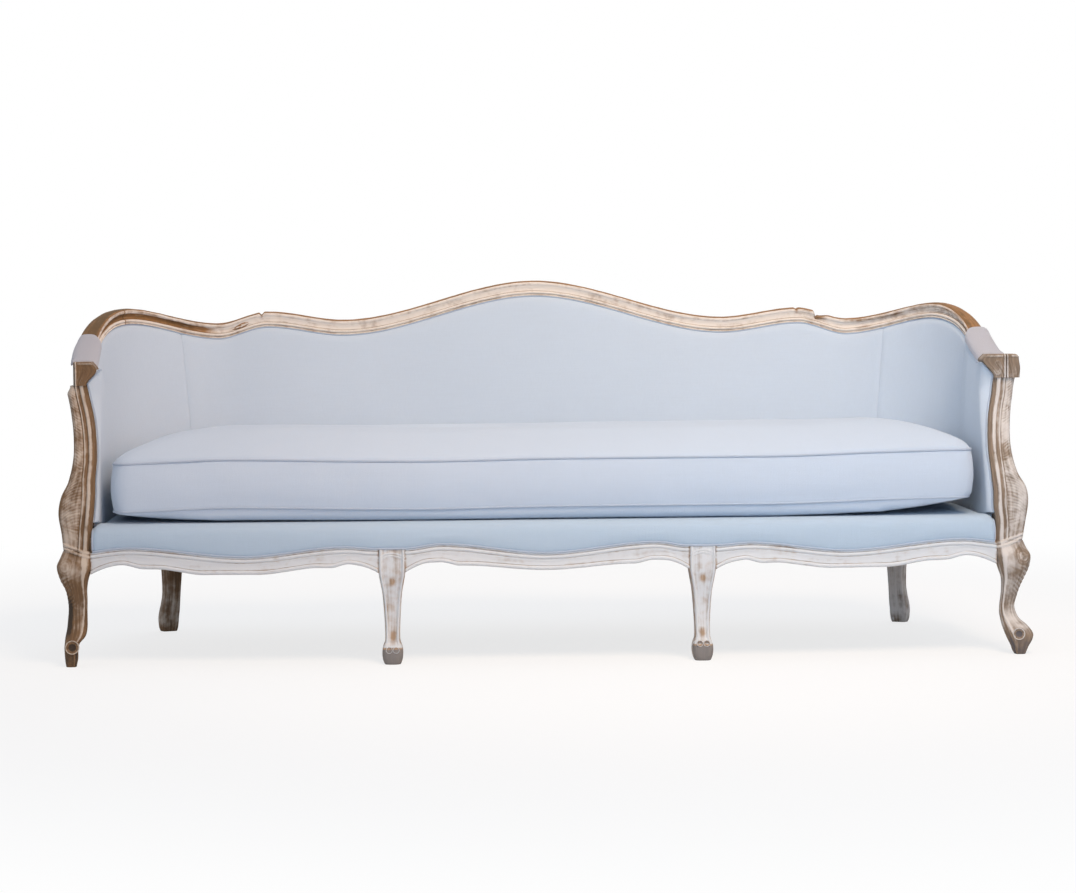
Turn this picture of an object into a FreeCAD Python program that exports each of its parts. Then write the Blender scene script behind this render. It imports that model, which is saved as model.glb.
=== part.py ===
"""Camel-back canape: carved show-wood frame, wrap-round upholstery and one loose bench cushion.

Millimetres. X runs across the sofa, Y from front to rear, Z up. The origin is on the floor in
the middle of the width and of the depth. The front rail faces -Y.

The crest, the arms, the inside and outside covers and the seat rails all follow one plan line,
the arm line: straight along the back, round a corner, straight forward along the arm. A place
on it is given by its station, the distance walked from the middle of the back.
"""
import FreeCAD
import Part
import math
import os
from FreeCAD import Vector

# Overall sizes
HEIGHT = 950.0
DEPTH = 825.0
ARM_LINE = 1157.0
CORNER_RADIUS = 350.0

# Crest and arm rails
RAIL_THICK = 50.0
CREST_FACE = 41.0
ARM_FACE = 31.0
VALLEY_X = 520.0
VALLEY_DROP = 103.0
SCROLL_X = 728.0
SCROLL_DROP = 79.0
SADDLE_X = 865.0
SADDLE_DROP = 110.0
EAR_RUN = 333.0
EAR_DROP = 68.0
ARM_REAR_DROP = 139.0
ARM_FRONT_RISE = 44.0
CREST_JOINT_X = 620.0
BEAD = 6.0
COVE_DEPTH = 4.0

# Volute block at the front of each arm
VOLUTE_LENGTH = 58.0
VOLUTE_WIDTH = 102.0
VOLUTE_HEIGHT = 60.0
VOLUTE_OUT = 11.0
VOLUTE_ROUND = 8.0
VOLUTE_SHRINK = 7.0
VOLUTE_REST = 4.0

# Arm pads
PAD_HALF = 35.0
PAD_THICK = 30.0
PAD_SINK = 11.0

# Back lean and padding
BACK_LEAN = 55.0
FRAME_THICK = 22.0
COVER_THICK = 3.0
BACK_PAD = 85.0
ARM_PAD_IN = 45.0
COVER_BELLY = 6.0
COVER_TUCK = 2.0
EDGE_TUCK = 5.0
SEAM_RUN = 173.0

# Seat frame
SEAT_RAIL_TOP = 318.0
SEAT_RAIL_HEIGHT = 72.0
SEAT_RAIL_THICK = 38.0
SHOW_DROP = 33.0
SHOW_CHAMFER = 4.0
FRONT_RAIL_THICK = 45.0
BAY_RUN = 380.0
REBATE = 12.0
CROSS_RAIL_WIDTH = 44.0
CROSS_RAIL_HEIGHT = 52.0
CROSS_RAIL_DROP = 12.0
TENON_LENGTH = 16.0
TENON_THICK = 14.0
TENON_HEIGHT = 26.0
TENON_ROOT = 2.0

# Legs
MIDDLE_LEG_X = 385.0
MIDDLE_LEG_WIDTH = 66.0
MIDDLE_LEG_DEPTH = 54.0
HEAD_STEP = 6.0
CORNER_LEG_OUT = 7.0
CORNER_LEG_Y = 88.0
CORNER_LEG_SIZE = 68.0
REAR_LEG_RUN = 223.0
REAR_LEG_WIDTH = 58.0
REAR_LEG_SPLAY = 34.0
STILE_WIDTH = 46.0
UPRIGHT_WIDTH = 50.0
UPRIGHTS_X = (270.0, 640.0)

# Arm supports
SUPPORT_TOP = 691.0
SUPPORT_DEPTH = 48.0
SUPPORT_SETBACK = 106.0

# Webbing, deck and cushion
WEB_WIDTH = 50.0
WEB_THICK = 2.0
WEB_PITCH = 105.0
DECK_THICK = 32.0
BORDER_DEPTH = 62.0
BORDER_END_GAP = 14.0
BORDER_TUCK = 4.0
BORDER_PROUD = 1.0
BORDER_BELLY = 14.0
BORDER_SHOULDER = 9.0
BORDER_ROLL = 24.0
CUSHION_FRONT_Y = 66.0
CUSHION_SIDE_GAP = 38.0
CUSHION_REAR_GAP = 8.0
CUSHION_CORNER_IN = 125.0
CUSHION_NOSE = 45.0
CUSHION_UNDER = 34.0
CUSHION_BAND = 119.0
CUSHION_RISE = 69.0
CUSHION_REST_IN = 46.0
CUSHION_UNDER_IN = 20.0
CUSHION_EASE = 3.0
CUSHION_SWELL = 11.0
CUSHION_DOME = 250.0
CUSHION_BOW = 4.0
DECK_SIDE_GAP = 7.0
DUST_COVER_THICK = 1.5

# Joinery
SLIP_TENON_WIDTH = 30.0
SLIP_TENON_LENGTH = 44.0
BLOCK_REACH = 110.0
BLOCK_WIDTH = 26.0
BLOCK_HEIGHT = 50.0

# Spacing of sections along the curved pieces
STATION_PITCH = 25.0
FRONT_PITCH = 40.0
SUPPORT_PITCH = 25.0

# Gaps
CLOTH_GAP = 0.4
FIT_GAP = 0.3

# Places that follow from the sizes
BACK_LINE_Y = DEPTH - RAIL_THICK / 2
BACK_RUN = ARM_LINE - CORNER_RADIUS
CORNER_RUN = CORNER_RADIUS * math.pi / 2
ARM_REAR_STATION = BACK_RUN + CORNER_RUN
CORNER_CENTRE_Y = BACK_LINE_Y - CORNER_RADIUS
INSIDE_SEAM = BACK_RUN + SEAM_RUN
REAR_LEG_STATION = BACK_RUN + REAR_LEG_RUN
CORNER_LEG_X = ARM_LINE + CORNER_LEG_OUT
LEG_TOP = SEAT_RAIL_TOP - SHOW_DROP
SEAT_RAIL_BOTTOM = SEAT_RAIL_TOP - SEAT_RAIL_HEIGHT
DECK_TOP = SEAT_RAIL_TOP + DECK_THICK
ARM_FRONT_Y = CORNER_LEG_Y + SUPPORT_SETBACK + SUPPORT_DEPTH / 2 + VOLUTE_REST
LEG_INNER = MIDDLE_LEG_X - MIDDLE_LEG_WIDTH / 2
LEG_OUTER = MIDDLE_LEG_X + MIDDLE_LEG_WIDTH / 2
RAIL_END = CORNER_LEG_X - CORNER_LEG_SIZE / 2
BORDER_END_X = RAIL_END - BORDER_END_GAP
CUSHION_HALF = ARM_LINE - ARM_PAD_IN - CUSHION_SIDE_GAP
CUSHION_REAR_Y = BACK_LINE_Y - BACK_LEAN - BACK_PAD - CUSHION_REAR_GAP
CUSHION_CORNER = CORNER_RADIUS - CUSHION_CORNER_IN
CUSHION_WELT_LOW = DECK_TOP + CUSHION_UNDER
CUSHION_WELT_TOP = CUSHION_WELT_LOW + CUSHION_BAND
CUSHION_CROWN = CUSHION_WELT_TOP + CUSHION_RISE


def place(x, behind, z):
    """A point given by its distance behind the front toes."""
    return Vector(x, behind - DEPTH / 2, z)


def arm_station(behind):
    """Station on the straight arm at a distance behind the front toes."""
    return ARM_REAR_STATION + CORNER_CENTRE_Y - behind


def through(knots, at):
    """Height of the cubic curve through knots (place, height, slope)."""
    if at <= knots[0][0]:
        return knots[0][1]
    for (a, low, slope_a), (b, high, slope_b) in zip(knots, knots[1:]):
        if at <= b:
            span = b - a
            u = (at - a) / span
            rise = low + (high - low) * (3 * u * u - 2 * u ** 3)
            return rise + span * (slope_a * u * (1 - u) ** 2 - slope_b * u * u * (1 - u))
    return knots[-1][1]


CREST_KNOTS = [
    (0.0, HEIGHT, 0.0),
    (VALLEY_X, HEIGHT - VALLEY_DROP, 0.0),
    (SCROLL_X, HEIGHT - SCROLL_DROP, 0.0),
    (SADDLE_X, HEIGHT - SADDLE_DROP, 0.0),
    (BACK_RUN + EAR_RUN, HEIGHT - EAR_DROP, 0.0),
    (ARM_REAR_STATION, HEIGHT - ARM_REAR_DROP, -0.45),
    (arm_station(ARM_FRONT_Y), SUPPORT_TOP + ARM_FRONT_RISE, -0.25),
]


def crest_top(station):
    return through(CREST_KNOTS, station)


def crest_face(station):
    """Height of the wood that shows under the top line."""
    knots = [(BACK_RUN + EAR_RUN, CREST_FACE, 0.0), (ARM_REAR_STATION, ARM_FACE, 0.0)]
    return through(knots, station)


def crest_bottom(station):
    return crest_top(station) - crest_face(station)


def spaced(low, high, count):
    return [low + (high - low) * i / (count - 1) for i in range(count)]


def steps(breaks, low, high, pitch):
    """Places from low to high that fall on every break and are about a pitch apart."""
    marks = [low] + sorted(mark for mark in breaks if low < mark < high) + [high]
    places = [low]
    for a, b in zip(marks, marks[1:]):
        places += spaced(a, b, max(2, round((b - a) / pitch) + 1))[1:]
    return places


def stations(low, high):
    """Shared stations along the arm line, so that neighbours have the same facets."""
    breaks = [CREST_JOINT_X, BACK_RUN, INSIDE_SEAM, ARM_REAR_STATION, arm_station(ARM_FRONT_Y)]
    return steps(breaks, low, high, STATION_PITCH)


def smooth_row(rows, share):
    """Row of a leg or support at a share of its height, on a smooth curve through the given rows."""
    for i in range(len(rows) - 1):
        if share <= rows[i + 1][0] or i == len(rows) - 2:
            break
    before, after = rows[max(i - 1, 0)], rows[min(i + 2, len(rows) - 1)]
    a, b = rows[i], rows[i + 1]
    result = []
    for k in range(1, len(a)):
        slope_a = (b[k] - before[k]) / (b[0] - before[0])
        slope_b = (after[k] - a[k]) / (after[0] - a[0])
        result.append(through([(a[0], a[k], slope_a), (b[0], b[k], slope_b)], share))
    return result


def lean(station, z):
    """How far the raked back has moved inward at height z. Below the seat rail top it stays upright."""
    share = through([(BACK_RUN, 1.0, 0.0), (BACK_RUN + CORNER_RADIUS, 0.0, 0.0)], station)
    return BACK_LEAN * share * (HEIGHT - max(z, SEAT_RAIL_TOP)) / (HEIGHT - SEAT_RAIL_TOP)


def on_line(station, inward, z):
    """A point on the arm line, moved inward, on the right-hand side."""
    if station <= BACK_RUN:
        return place(station, BACK_LINE_Y - inward, z)
    if station <= ARM_REAR_STATION:
        turn = (station - BACK_RUN) / CORNER_RADIUS
        reach = CORNER_RADIUS - inward
        return place(BACK_RUN + reach * math.sin(turn), CORNER_CENTRE_Y + reach * math.cos(turn), z)
    return place(ARM_LINE - inward, CORNER_CENTRE_Y - (station - ARM_REAR_STATION), z)


def inside_inset(station, z):
    """Distance of the inside cloth from the arm line: thin at the top, thick at the seat."""
    top = crest_bottom(station)
    down = max(0.0, (top - z) / (top - SEAT_RAIL_TOP))
    back_share = through([(BACK_RUN, 1.0, 0.0), (ARM_REAR_STATION, 0.0, 0.0)], station)
    foot = ARM_PAD_IN + (BACK_LEAN + BACK_PAD - ARM_PAD_IN) * back_share
    start = lean(station, top) + RAIL_THICK / 2 - COVER_TUCK
    return start + (foot - start) * down ** 0.9 + COVER_BELLY * math.sin(math.pi * down)


def polygon(points):
    return Part.makePolygon(points + [points[0]])


def patch(a, b, c, d):
    """Flat face through four points, or two flat faces where they are twisted."""
    normal = (b - a).cross(d - a)
    rise = (c - a).dot(normal) / max(normal.Length, 1e-9)
    if abs(rise) < 1e-6:
        return [Part.Face(polygon([a, b, c, d]))]
    return [Part.Face(polygon([a, b, c])), Part.Face(polygon([a, c, d]))]


def loft(sections):
    """Closed solid through sections of as many points each, with flat facets from point to point."""
    faces = [Part.Face(polygon(sections[0])), Part.Face(polygon(sections[-1]))]
    for near, far in zip(sections, sections[1:]):
        for i in range(len(near)):
            k = (i + 1) % len(near)
            faces += patch(near[i], near[k], far[k], far[i])
    shell = Part.Shell(faces)
    shell.sewShape()
    solid = Part.Solid(shell)
    if solid.Volume < 0:
        solid.reverse()
    return solid


def mirrored(shape):
    return shape.mirror(Vector(0, 0, 0), Vector(1, 0, 0))


def ring(x, behind, z, half_x, half_y, cut=0.3):
    """Eight-sided level section of a leg or support, its corners cut by a share of its size."""
    cx = half_x * (1 - cut)
    cy = half_y * (1 - cut)
    corners = [(half_x, cy), (cx, half_y), (-cx, half_y), (-half_x, cy),
               (-half_x, -cy), (-cx, -half_y), (cx, -half_y), (half_x, -cy)]
    return [place(x + dx, behind + dy, z) for dx, dy in corners]


def box_between(x0, x1, y0, y1, z0, z1):
    return Part.makeBox(x1 - x0, y1 - y0, z1 - z0, place(x0, y0, z0))


# Crest and arm rails
def rail_section(station, flat_top=False):
    """Moulded section: rounded back, edge bead, cove and inner bead."""
    half = RAIL_THICK / 2
    top = crest_top(station)
    low = crest_bottom(station)
    shift = lean(station, top)
    face = top - low
    outline = [(-half, low), (-half, top - 0.4 * face), (-0.68 * half, top - 0.1 * face), (0.0, top),
               (0.56 * half, top - 0.07 * face), (0.8 * half, top - BEAD),
               (0.56 * half, top - 2 * BEAD), (0.56 * half, low + 2 * BEAD),
               (half - COVE_DEPTH, low + BEAD), (half - COVE_DEPTH, low)]
    if flat_top:
        seat = top - PAD_SINK
        outline = [(-half, low), (-half, seat), (half - COVE_DEPTH, seat), (half - COVE_DEPTH, low)]
    return [on_line(station, shift + inward, z) for inward, z in outline]


def crest_rail():
    """Right-hand middle length, from the centre glue joint to the corner length."""
    return loft([rail_section(s) for s in stations(0.0, CREST_JOINT_X)])


def crest_corner():
    """Corner length with its small scroll, saddle and ear."""
    return loft([rail_section(s) for s in stations(CREST_JOINT_X, ARM_REAR_STATION)])


def volute_wire(behind, shrink):
    """Section of the volute block across the arm."""
    middle = ARM_LINE + VOLUTE_OUT
    half = VOLUTE_WIDTH / 2 - shrink
    top = SUPPORT_TOP + VOLUTE_HEIGHT - shrink
    low = SUPPORT_TOP
    outline = [(-0.72 * half, low), (-half, low + 0.7 * VOLUTE_HEIGHT), (-0.7 * half, top),
               (0.8 * half, top), (half, top - 0.18 * VOLUTE_HEIGHT), (0.92 * half, low)]
    return [place(middle + dx, behind, z) for dx, z in outline]


def arm_rail():
    """Arm rail under the pad, with the volute block at its front end."""
    front = arm_station(ARM_FRONT_Y)
    bar = loft([rail_section(s, flat_top=True) for s in stations(ARM_REAR_STATION, front)])
    nose = ARM_FRONT_Y - VOLUTE_LENGTH
    block = loft([volute_wire(ARM_FRONT_Y, 0.0), volute_wire(nose + VOLUTE_ROUND, 0.0),
                  volute_wire(nose, VOLUTE_SHRINK)])
    return bar.fuse(block).cut(arm_tenon(FIT_GAP))


def arm_pad():
    """Crowned pad that sits on the arm rail and laps a little over both its sides."""
    start = ARM_REAR_STATION + FIT_GAP
    end = arm_station(ARM_FRONT_Y) - FIT_GAP
    wires = []
    for station in stations(start, end):
        share = (station - start) / (end - start)
        fill = 1.0 - 0.3 * abs(2.0 * share - 1.0) ** 6
        seat = crest_top(station) - PAD_SINK + CLOTH_GAP
        half = PAD_HALF * (0.9 + 0.1 * fill)
        crown = PAD_THICK * fill
        outline = [(-0.8 * half, seat), (-half, seat + 0.35 * crown), (-0.75 * half, seat + 0.8 * crown),
                   (0.0, seat + crown), (0.75 * half, seat + 0.8 * crown), (half, seat + 0.35 * crown),
                   (0.8 * half, seat)]
        wires.append([on_line(station, inward, z) for inward, z in outline])
    return loft(wires)


# Arm supports: share of height, inner and outer X from the leg axis, share of the setback
SUPPORT_ROWS = [
    (0.00, -34.0, 34.0, 0.02),
    (0.12, -34.0, 42.0, 0.0),
    (0.23, -39.0, 45.0, 0.0),
    (0.33, -42.0, 38.0, 0.057),
    (0.42, -44.0, 22.0, 0.17),
    (0.56, -46.0, 12.0, 0.434),
    (0.70, -42.0, 14.0, 0.679),
    (0.82, -34.0, 21.0, 0.868),
    (0.92, -24.0, 29.0, 0.962),
    (1.00, -18.0, 38.0, 1.0),
]


def support_row(share):
    """Middle X, half width and place behind the toes at a share of the support's height."""
    inner, outer, back = smooth_row(SUPPORT_ROWS, share)
    return CORNER_LEG_X + (inner + outer) / 2, (outer - inner) / 2, CORNER_LEG_Y + SUPPORT_SETBACK * back


def support_height(share):
    return LEG_TOP + (SUPPORT_TOP - LEG_TOP) * share


def support_shares():
    """Shares of the height at which the support has a section."""
    return steps([], 0.0, 1.0, SUPPORT_PITCH / (SUPPORT_TOP - LEG_TOP))


def slip_tenon(row, middle, gap):
    """Loose tenon across a level joint at a height, centred on the support's row there."""
    half_x = SLIP_TENON_WIDTH / 2 + gap
    half_y = TENON_THICK / 2 + gap
    half_z = SLIP_TENON_LENGTH / 2 + gap
    return box_between(row[0] - half_x, row[0] + half_x, row[2] - half_y, row[2] + half_y,
                       middle - half_z, middle + half_z)


def leg_slip_tenon(gap):
    return slip_tenon(support_row(0.0), LEG_TOP, gap)


def arm_tenon(gap):
    return slip_tenon(support_row(1.0), SUPPORT_TOP, gap)


def arm_support():
    """Carved S-shaped support from the leg to the volute block."""
    wires = []
    for share in support_shares():
        middle, half, behind = support_row(share)
        wires.append(ring(middle, behind, support_height(share), half, SUPPORT_DEPTH / 2, 0.25))
    return loft(wires).cut(leg_slip_tenon(FIT_GAP)).cut(arm_tenon(FIT_GAP))


def support_tenons():
    """Loose tenons below and above both supports."""
    pair = [leg_slip_tenon(0.0), arm_tenon(0.0)]
    return Part.makeCompound(pair + [mirrored(tenon) for tenon in pair])


# Corner legs: share of height, inside the block's faces, outward shift, forward shift
TURNED_OUT_FOOT = [
    (0.00, 20.0, 25.0, 25.0),
    (0.07, 13.0, 25.0, 25.0),
    (0.13, 5.0, 23.0, 24.0),
    (0.19, 2.0, 20.0, 23.0),
    (0.26, 7.0, 9.0, 11.0),
    (0.36, 15.5, -2.0, -2.0),
    (0.50, 15.5, 1.0, 1.0),
    (0.66, 6.0, 9.0, 9.0),
    (0.77, -5.0, 10.0, 10.0),
    (0.87, -8.0, 8.0, 8.0),
    (0.95, -1.0, 1.0, 1.0),
    (1.00, 0.0, 0.0, 0.0),
]
TURNED_FORWARD_FOOT = [
    (0.00, 21.0, 16.0, 38.0),
    (0.07, 19.0, 16.0, 38.0),
    (0.13, 16.0, 15.0, 36.0),
    (0.19, 12.0, 10.0, 31.0),
    (0.26, 10.0, 6.0, 20.0),
    (0.36, 9.0, 2.0, 6.0),
    (0.50, 10.0, 1.0, 1.0),
    (0.66, 8.0, 5.0, 6.0),
    (0.77, -2.0, 9.0, 10.0),
    (0.87, -8.0, 8.0, 8.0),
    (0.95, -1.0, 1.0, 1.0),
    (1.00, 0.0, 0.0, 0.0),
]


def corner_leg(rows):
    """Right-hand cabriole leg with its knee and scroll foot, mortised for both rails."""
    wires = []
    for share in steps([row[0] for row in rows], 0.0, 1.0, 0.06):
        drawn_in, outward, forward = smooth_row(rows, share)
        size = CORNER_LEG_SIZE / 2 - drawn_in
        wires.append(ring(CORNER_LEG_X + outward, CORNER_LEG_Y - forward, LEG_TOP * share, size, size, 0.36))
    return loft(wires).cut(leg_slip_tenon(FIT_GAP)).cut(corner_tenon(FIT_GAP)).cut(side_tenon(FIT_GAP))


# Middle leg: share of height, inside the block's sides, front face behind the rail's, thinner than the block
MIDDLE_LEG_ROWS = [
    (0.00, 14.0, -4.0, 16.0),
    (0.06, 10.0, -6.0, 11.0),
    (0.12, 10.0, -5.0, 9.0),
    (0.16, 16.5, 10.0, 20.0),
    (0.25, 16.0, 18.0, 22.0),
    (0.42, 13.5, 18.0, 18.0),
    (0.58, 9.5, 10.0, 8.0),
    (0.70, 6.0, 2.0, 0.0),
    (0.80, 1.0, -1.0, -1.0),
    (1.00, 0.0, 0.0, 0.0),
]


def middle_leg():
    """Straight-on leg, its block notched up behind the border to take the rails."""
    face = front_face(MIDDLE_LEG_X)
    wires = []
    for share in steps([row[0] for row in MIDDLE_LEG_ROWS], 0.0, 1.0, 0.06):
        drawn_in, front, thinner = smooth_row(MIDDLE_LEG_ROWS, share)
        size = MIDDLE_LEG_WIDTH / 2 - drawn_in
        low = face + front
        high = low + MIDDLE_LEG_DEPTH - thinner
        wires.append(ring(MIDDLE_LEG_X, (low + high) / 2, LEG_TOP * share, size, (high - low) / 2, 0.2))
    leg = loft(wires)
    head = box_between(LEG_INNER, LEG_OUTER, face + REBATE, face + MIDDLE_LEG_DEPTH - HEAD_STEP,
                       LEG_TOP, SEAT_RAIL_TOP)
    leg = leg.fuse(head)
    for side in (-1, 1):
        leg = leg.cut(middle_tenon(side, FIT_GAP))
    return leg


def follow_ring(station, z, outer, inner, half_along):
    """Level four-sided section that follows the arm line, from outer to inner inset at a station."""
    corners = [(-half_along, outer), (half_along, outer), (half_along, inner), (-half_along, inner)]
    return [on_line(station + along, lean(station + along, z) + inset, z) for along, inset in corners]


def rear_leg():
    """Rear leg: splayed below the seat, a block at the rails, then the corner stile to the crest."""
    station = REAR_LEG_STATION
    half = REAR_LEG_WIDTH / 2
    block = SEAT_RAIL_THICK / 2
    rows = [(0.0, 1.0, 0.86), (0.12, 0.95, 0.9), (0.3, 0.75, 0.94), (0.5, 0.42, 0.97), (0.68, 0.1, 1.0),
            (0.78, 0.0, 1.0), (1.0, 0.0, 1.0)]
    leg = loft([follow_ring(station, SEAT_RAIL_TOP * share, -block - REAR_LEG_SPLAY * splay,
                            block * wide - REAR_LEG_SPLAY * splay, half * wide) for share, splay, wide in rows])
    edges = (crest_bottom(station - STILE_WIDTH / 2), crest_bottom(station + STILE_WIDTH / 2))
    top = min(edges) - CLOTH_GAP
    stile = loft([follow_ring(station, z, -block, FRAME_THICK - block, STILE_WIDTH / 2)
                  for z in (SEAT_RAIL_TOP, top)])
    return leg.fuse(stile)


# Front rail outline: place across from the middle, height above the leg blocks, slope
RAIL_TOP_KNOTS = [
    (0.0, -15.0, 0.0),
    (LEG_INNER - 86.0, 10.0, 0.0),
    (LEG_INNER, 0.0, 0.0),
    (LEG_OUTER, 0.0, 0.0),
    (LEG_OUTER + 82.0, 5.0, 0.0),
    (RAIL_END - BAY_RUN, -18.5, 0.0),
    (RAIL_END - 90.0, 4.5, 0.0),
    (RAIL_END, -5.0, -0.1),
]
RAIL_BOTTOM_KNOTS = [
    (0.0, -56.0, 0.0),
    (LEG_INNER - 137.0, -42.0, 0.0),
    (LEG_INNER - 90.0, -33.0, 0.0),
    (LEG_INNER - 57.0, -34.0, -0.1),
    (LEG_INNER, -57.0, -0.6),
    (LEG_OUTER, -58.0, 0.6),
    (LEG_OUTER + 48.0, -39.0, 0.15),
    (LEG_OUTER + 74.0, -35.5, 0.0),
    (LEG_OUTER + 117.0, -44.5, 0.0),
    (LEG_OUTER + 167.0, -45.0, -0.1),
    (RAIL_END - BAY_RUN - 30.0, -60.5, 0.0),
    (RAIL_END - BAY_RUN + 100.0, -60.5, 0.0),
    (RAIL_END - 172.0, -46.5, 0.05),
    (RAIL_END - 126.0, -45.0, 0.1),
    (RAIL_END - 78.0, -35.0, 0.0),
    (RAIL_END, -58.0, -0.5),
]
# Front rail face: place across from the middle, distance behind the toes, slope
FRONT_FACE_KNOTS = [
    (0.0, 16.0, 0.0),
    (MIDDLE_LEG_X, 6.0, 0.0),
    (RAIL_END - BAY_RUN, 30.0, 0.08),
    (RAIL_END, 55.0, 0.04),
]


def rail_top(x):
    return LEG_TOP + through(RAIL_TOP_KNOTS, abs(x))


def rail_bottom(x):
    return LEG_TOP + through(RAIL_BOTTOM_KNOTS, abs(x))


def front_face(x):
    return through(FRONT_FACE_KNOTS, abs(x))


def front_places(low, high):
    """Shared places across the front, so that the rails and the border have the same facets."""
    marks = [LEG_INNER, LEG_OUTER, BORDER_END_X, RAIL_END]
    return steps([-mark for mark in reversed(marks)] + marks, low, high, FRONT_PITCH)


def front_rail_section(x):
    """Section across the front rail: two beads with a cove, rebate for the border above."""
    face = front_face(x)
    low = rail_bottom(x)
    high = rail_top(x)
    outline = [(BEAD / 2, low), (0.0, low + BEAD), (COVE_DEPTH, low + 2 * BEAD), (COVE_DEPTH, high - 2 * BEAD),
               (0.0, high - BEAD), (BEAD / 2, high), (REBATE, high), (REBATE, SEAT_RAIL_TOP),
               (FRONT_RAIL_THICK, SEAT_RAIL_TOP), (FRONT_RAIL_THICK, low + BEAD)]
    return [place(x, face + inward, z) for inward, z in outline]


def tenon_heights():
    return SEAT_RAIL_BOTTOM + BEAD, SEAT_RAIL_BOTTOM + BEAD + TENON_HEIGHT


def tenon_back(x):
    """Front and back of a tenon, centred in the rail's thickness."""
    middle = front_face(x) + (REBATE + FRONT_RAIL_THICK) / 2
    return middle - TENON_THICK / 2, middle + TENON_THICK / 2


def middle_tenon(side, gap):
    """Tenon into the middle leg from its inner (-1) or outer (1) side."""
    start = LEG_OUTER if side > 0 else LEG_INNER
    y0, y1 = tenon_back(MIDDLE_LEG_X)
    z0, z1 = tenon_heights()
    near = start + side * TENON_ROOT
    far = start - side * (TENON_LENGTH + gap)
    return box_between(min(near, far), max(near, far), y0 - gap, y1 + gap, z0 - gap, z1 + gap)


def corner_tenon(gap):
    """Tenon from the front rail into the corner leg."""
    y0, y1 = tenon_back(RAIL_END)
    z0, z1 = tenon_heights()
    return box_between(RAIL_END - TENON_ROOT, RAIL_END + TENON_LENGTH + gap, y0 - gap, y1 + gap,
                       z0 - gap, z1 + gap)


def side_tenon(gap):
    """Tenon from the side rail into the back of the corner leg."""
    back = CORNER_LEG_Y + CORNER_LEG_SIZE / 2
    z0, z1 = tenon_heights()
    return box_between(ARM_LINE - TENON_THICK / 2 - gap, ARM_LINE + TENON_THICK / 2 + gap,
                       back - TENON_LENGTH - gap, back + TENON_ROOT, z0 - gap, z1 + gap)


def front_rail_centre():
    rail = loft([front_rail_section(x) for x in front_places(-LEG_INNER, LEG_INNER)])
    tenon = middle_tenon(-1, 0.0)
    return rail.fuse(tenon).fuse(mirrored(tenon))


def front_rail_side():
    rail = loft([front_rail_section(x) for x in front_places(LEG_OUTER, RAIL_END)])
    return rail.fuse(middle_tenon(1, 0.0)).fuse(corner_tenon(0.0))


def seat_rail_section(station, top):
    """Side rail section: show face below, rebate for the outside cover above."""
    half = SEAT_RAIL_THICK / 2
    shift = lean(station, SEAT_RAIL_TOP)
    show = half + COVER_THICK + CLOTH_GAP
    outline = [(-show, SEAT_RAIL_BOTTOM), (-show, LEG_TOP - SHOW_CHAMFER), (-half, LEG_TOP),
               (-half, top), (half, top), (half, SEAT_RAIL_BOTTOM)]
    return [on_line(station, shift + inward, z) for inward, z in outline]


def side_rail():
    """Curved side rail from the rear leg block to the corner leg."""
    start = REAR_LEG_STATION + REAR_LEG_WIDTH / 2
    end = arm_station(CORNER_LEG_Y + CORNER_LEG_SIZE / 2)
    marks = stations(start, ARM_REAR_STATION) + [end]
    rail = loft([seat_rail_section(s, SEAT_RAIL_TOP - WEB_THICK) for s in marks])
    return rail.fuse(side_tenon(0.0))


def back_rail():
    """Back seat rail between the rear leg blocks, its ends following the corner."""
    marks = [0.0] + stations(BACK_RUN, REAR_LEG_STATION - REAR_LEG_WIDTH / 2)
    half = loft([seat_rail_section(s, SEAT_RAIL_TOP) for s in marks])
    return half.fuse(mirrored(half))


def back_rail_front():
    """Distance of the back rail's inner face behind the toes."""
    return BACK_LINE_Y - lean(0.0, SEAT_RAIL_TOP) - SEAT_RAIL_THICK / 2


def cross_rail():
    """Front-to-back rail behind the middle leg, let down so that the webbing can sink."""
    half = CROSS_RAIL_WIDTH / 2
    top = SEAT_RAIL_TOP - CROSS_RAIL_DROP
    front = front_face(MIDDLE_LEG_X) + MIDDLE_LEG_DEPTH
    return box_between(MIDDLE_LEG_X - half, MIDDLE_LEG_X + half, front, back_rail_front(),
                       top - CROSS_RAIL_HEIGHT, top)


def upright(x):
    """Back upright from the back seat rail to the underside of the crest, raked with the back."""
    half = UPRIGHT_WIDTH / 2
    wires = []
    for foot in (True, False):
        corners = []
        for dx, across in ((-half, 0.0), (half, 0.0), (half, FRAME_THICK), (-half, FRAME_THICK)):
            z = SEAT_RAIL_TOP if foot else crest_bottom(x + dx) - CLOTH_GAP
            inward = lean(x, z) - SEAT_RAIL_THICK / 2 + across
            corners.append(on_line(x + dx, inward, z))
        wires.append(corners)
    return loft(wires)


# Corner blocks
def block_outline():
    """Plan of the right-hand corner block, notched round the leg."""
    leg_back = CORNER_LEG_Y + CORNER_LEG_SIZE / 2
    side_in = ARM_LINE - SEAT_RAIL_THICK / 2 - FIT_GAP
    far_x = RAIL_END - BLOCK_REACH
    front = max(front_face(far_x), front_face(RAIL_END)) + FRONT_RAIL_THICK + FIT_GAP
    far_y = leg_back + BLOCK_REACH
    return [(far_x, front), (RAIL_END - FIT_GAP, front), (RAIL_END - FIT_GAP, leg_back + FIT_GAP),
            (side_in, leg_back + FIT_GAP), (side_in, far_y), (side_in - BLOCK_WIDTH, far_y),
            (far_x, front + BLOCK_WIDTH)]


def corner_block():
    z = SEAT_RAIL_TOP - CROSS_RAIL_DROP - BLOCK_HEIGHT
    face = Part.Face(polygon([place(x, y, z) for x, y in block_outline()]))
    return face.extrude(Vector(0, 0, BLOCK_HEIGHT))


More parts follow.
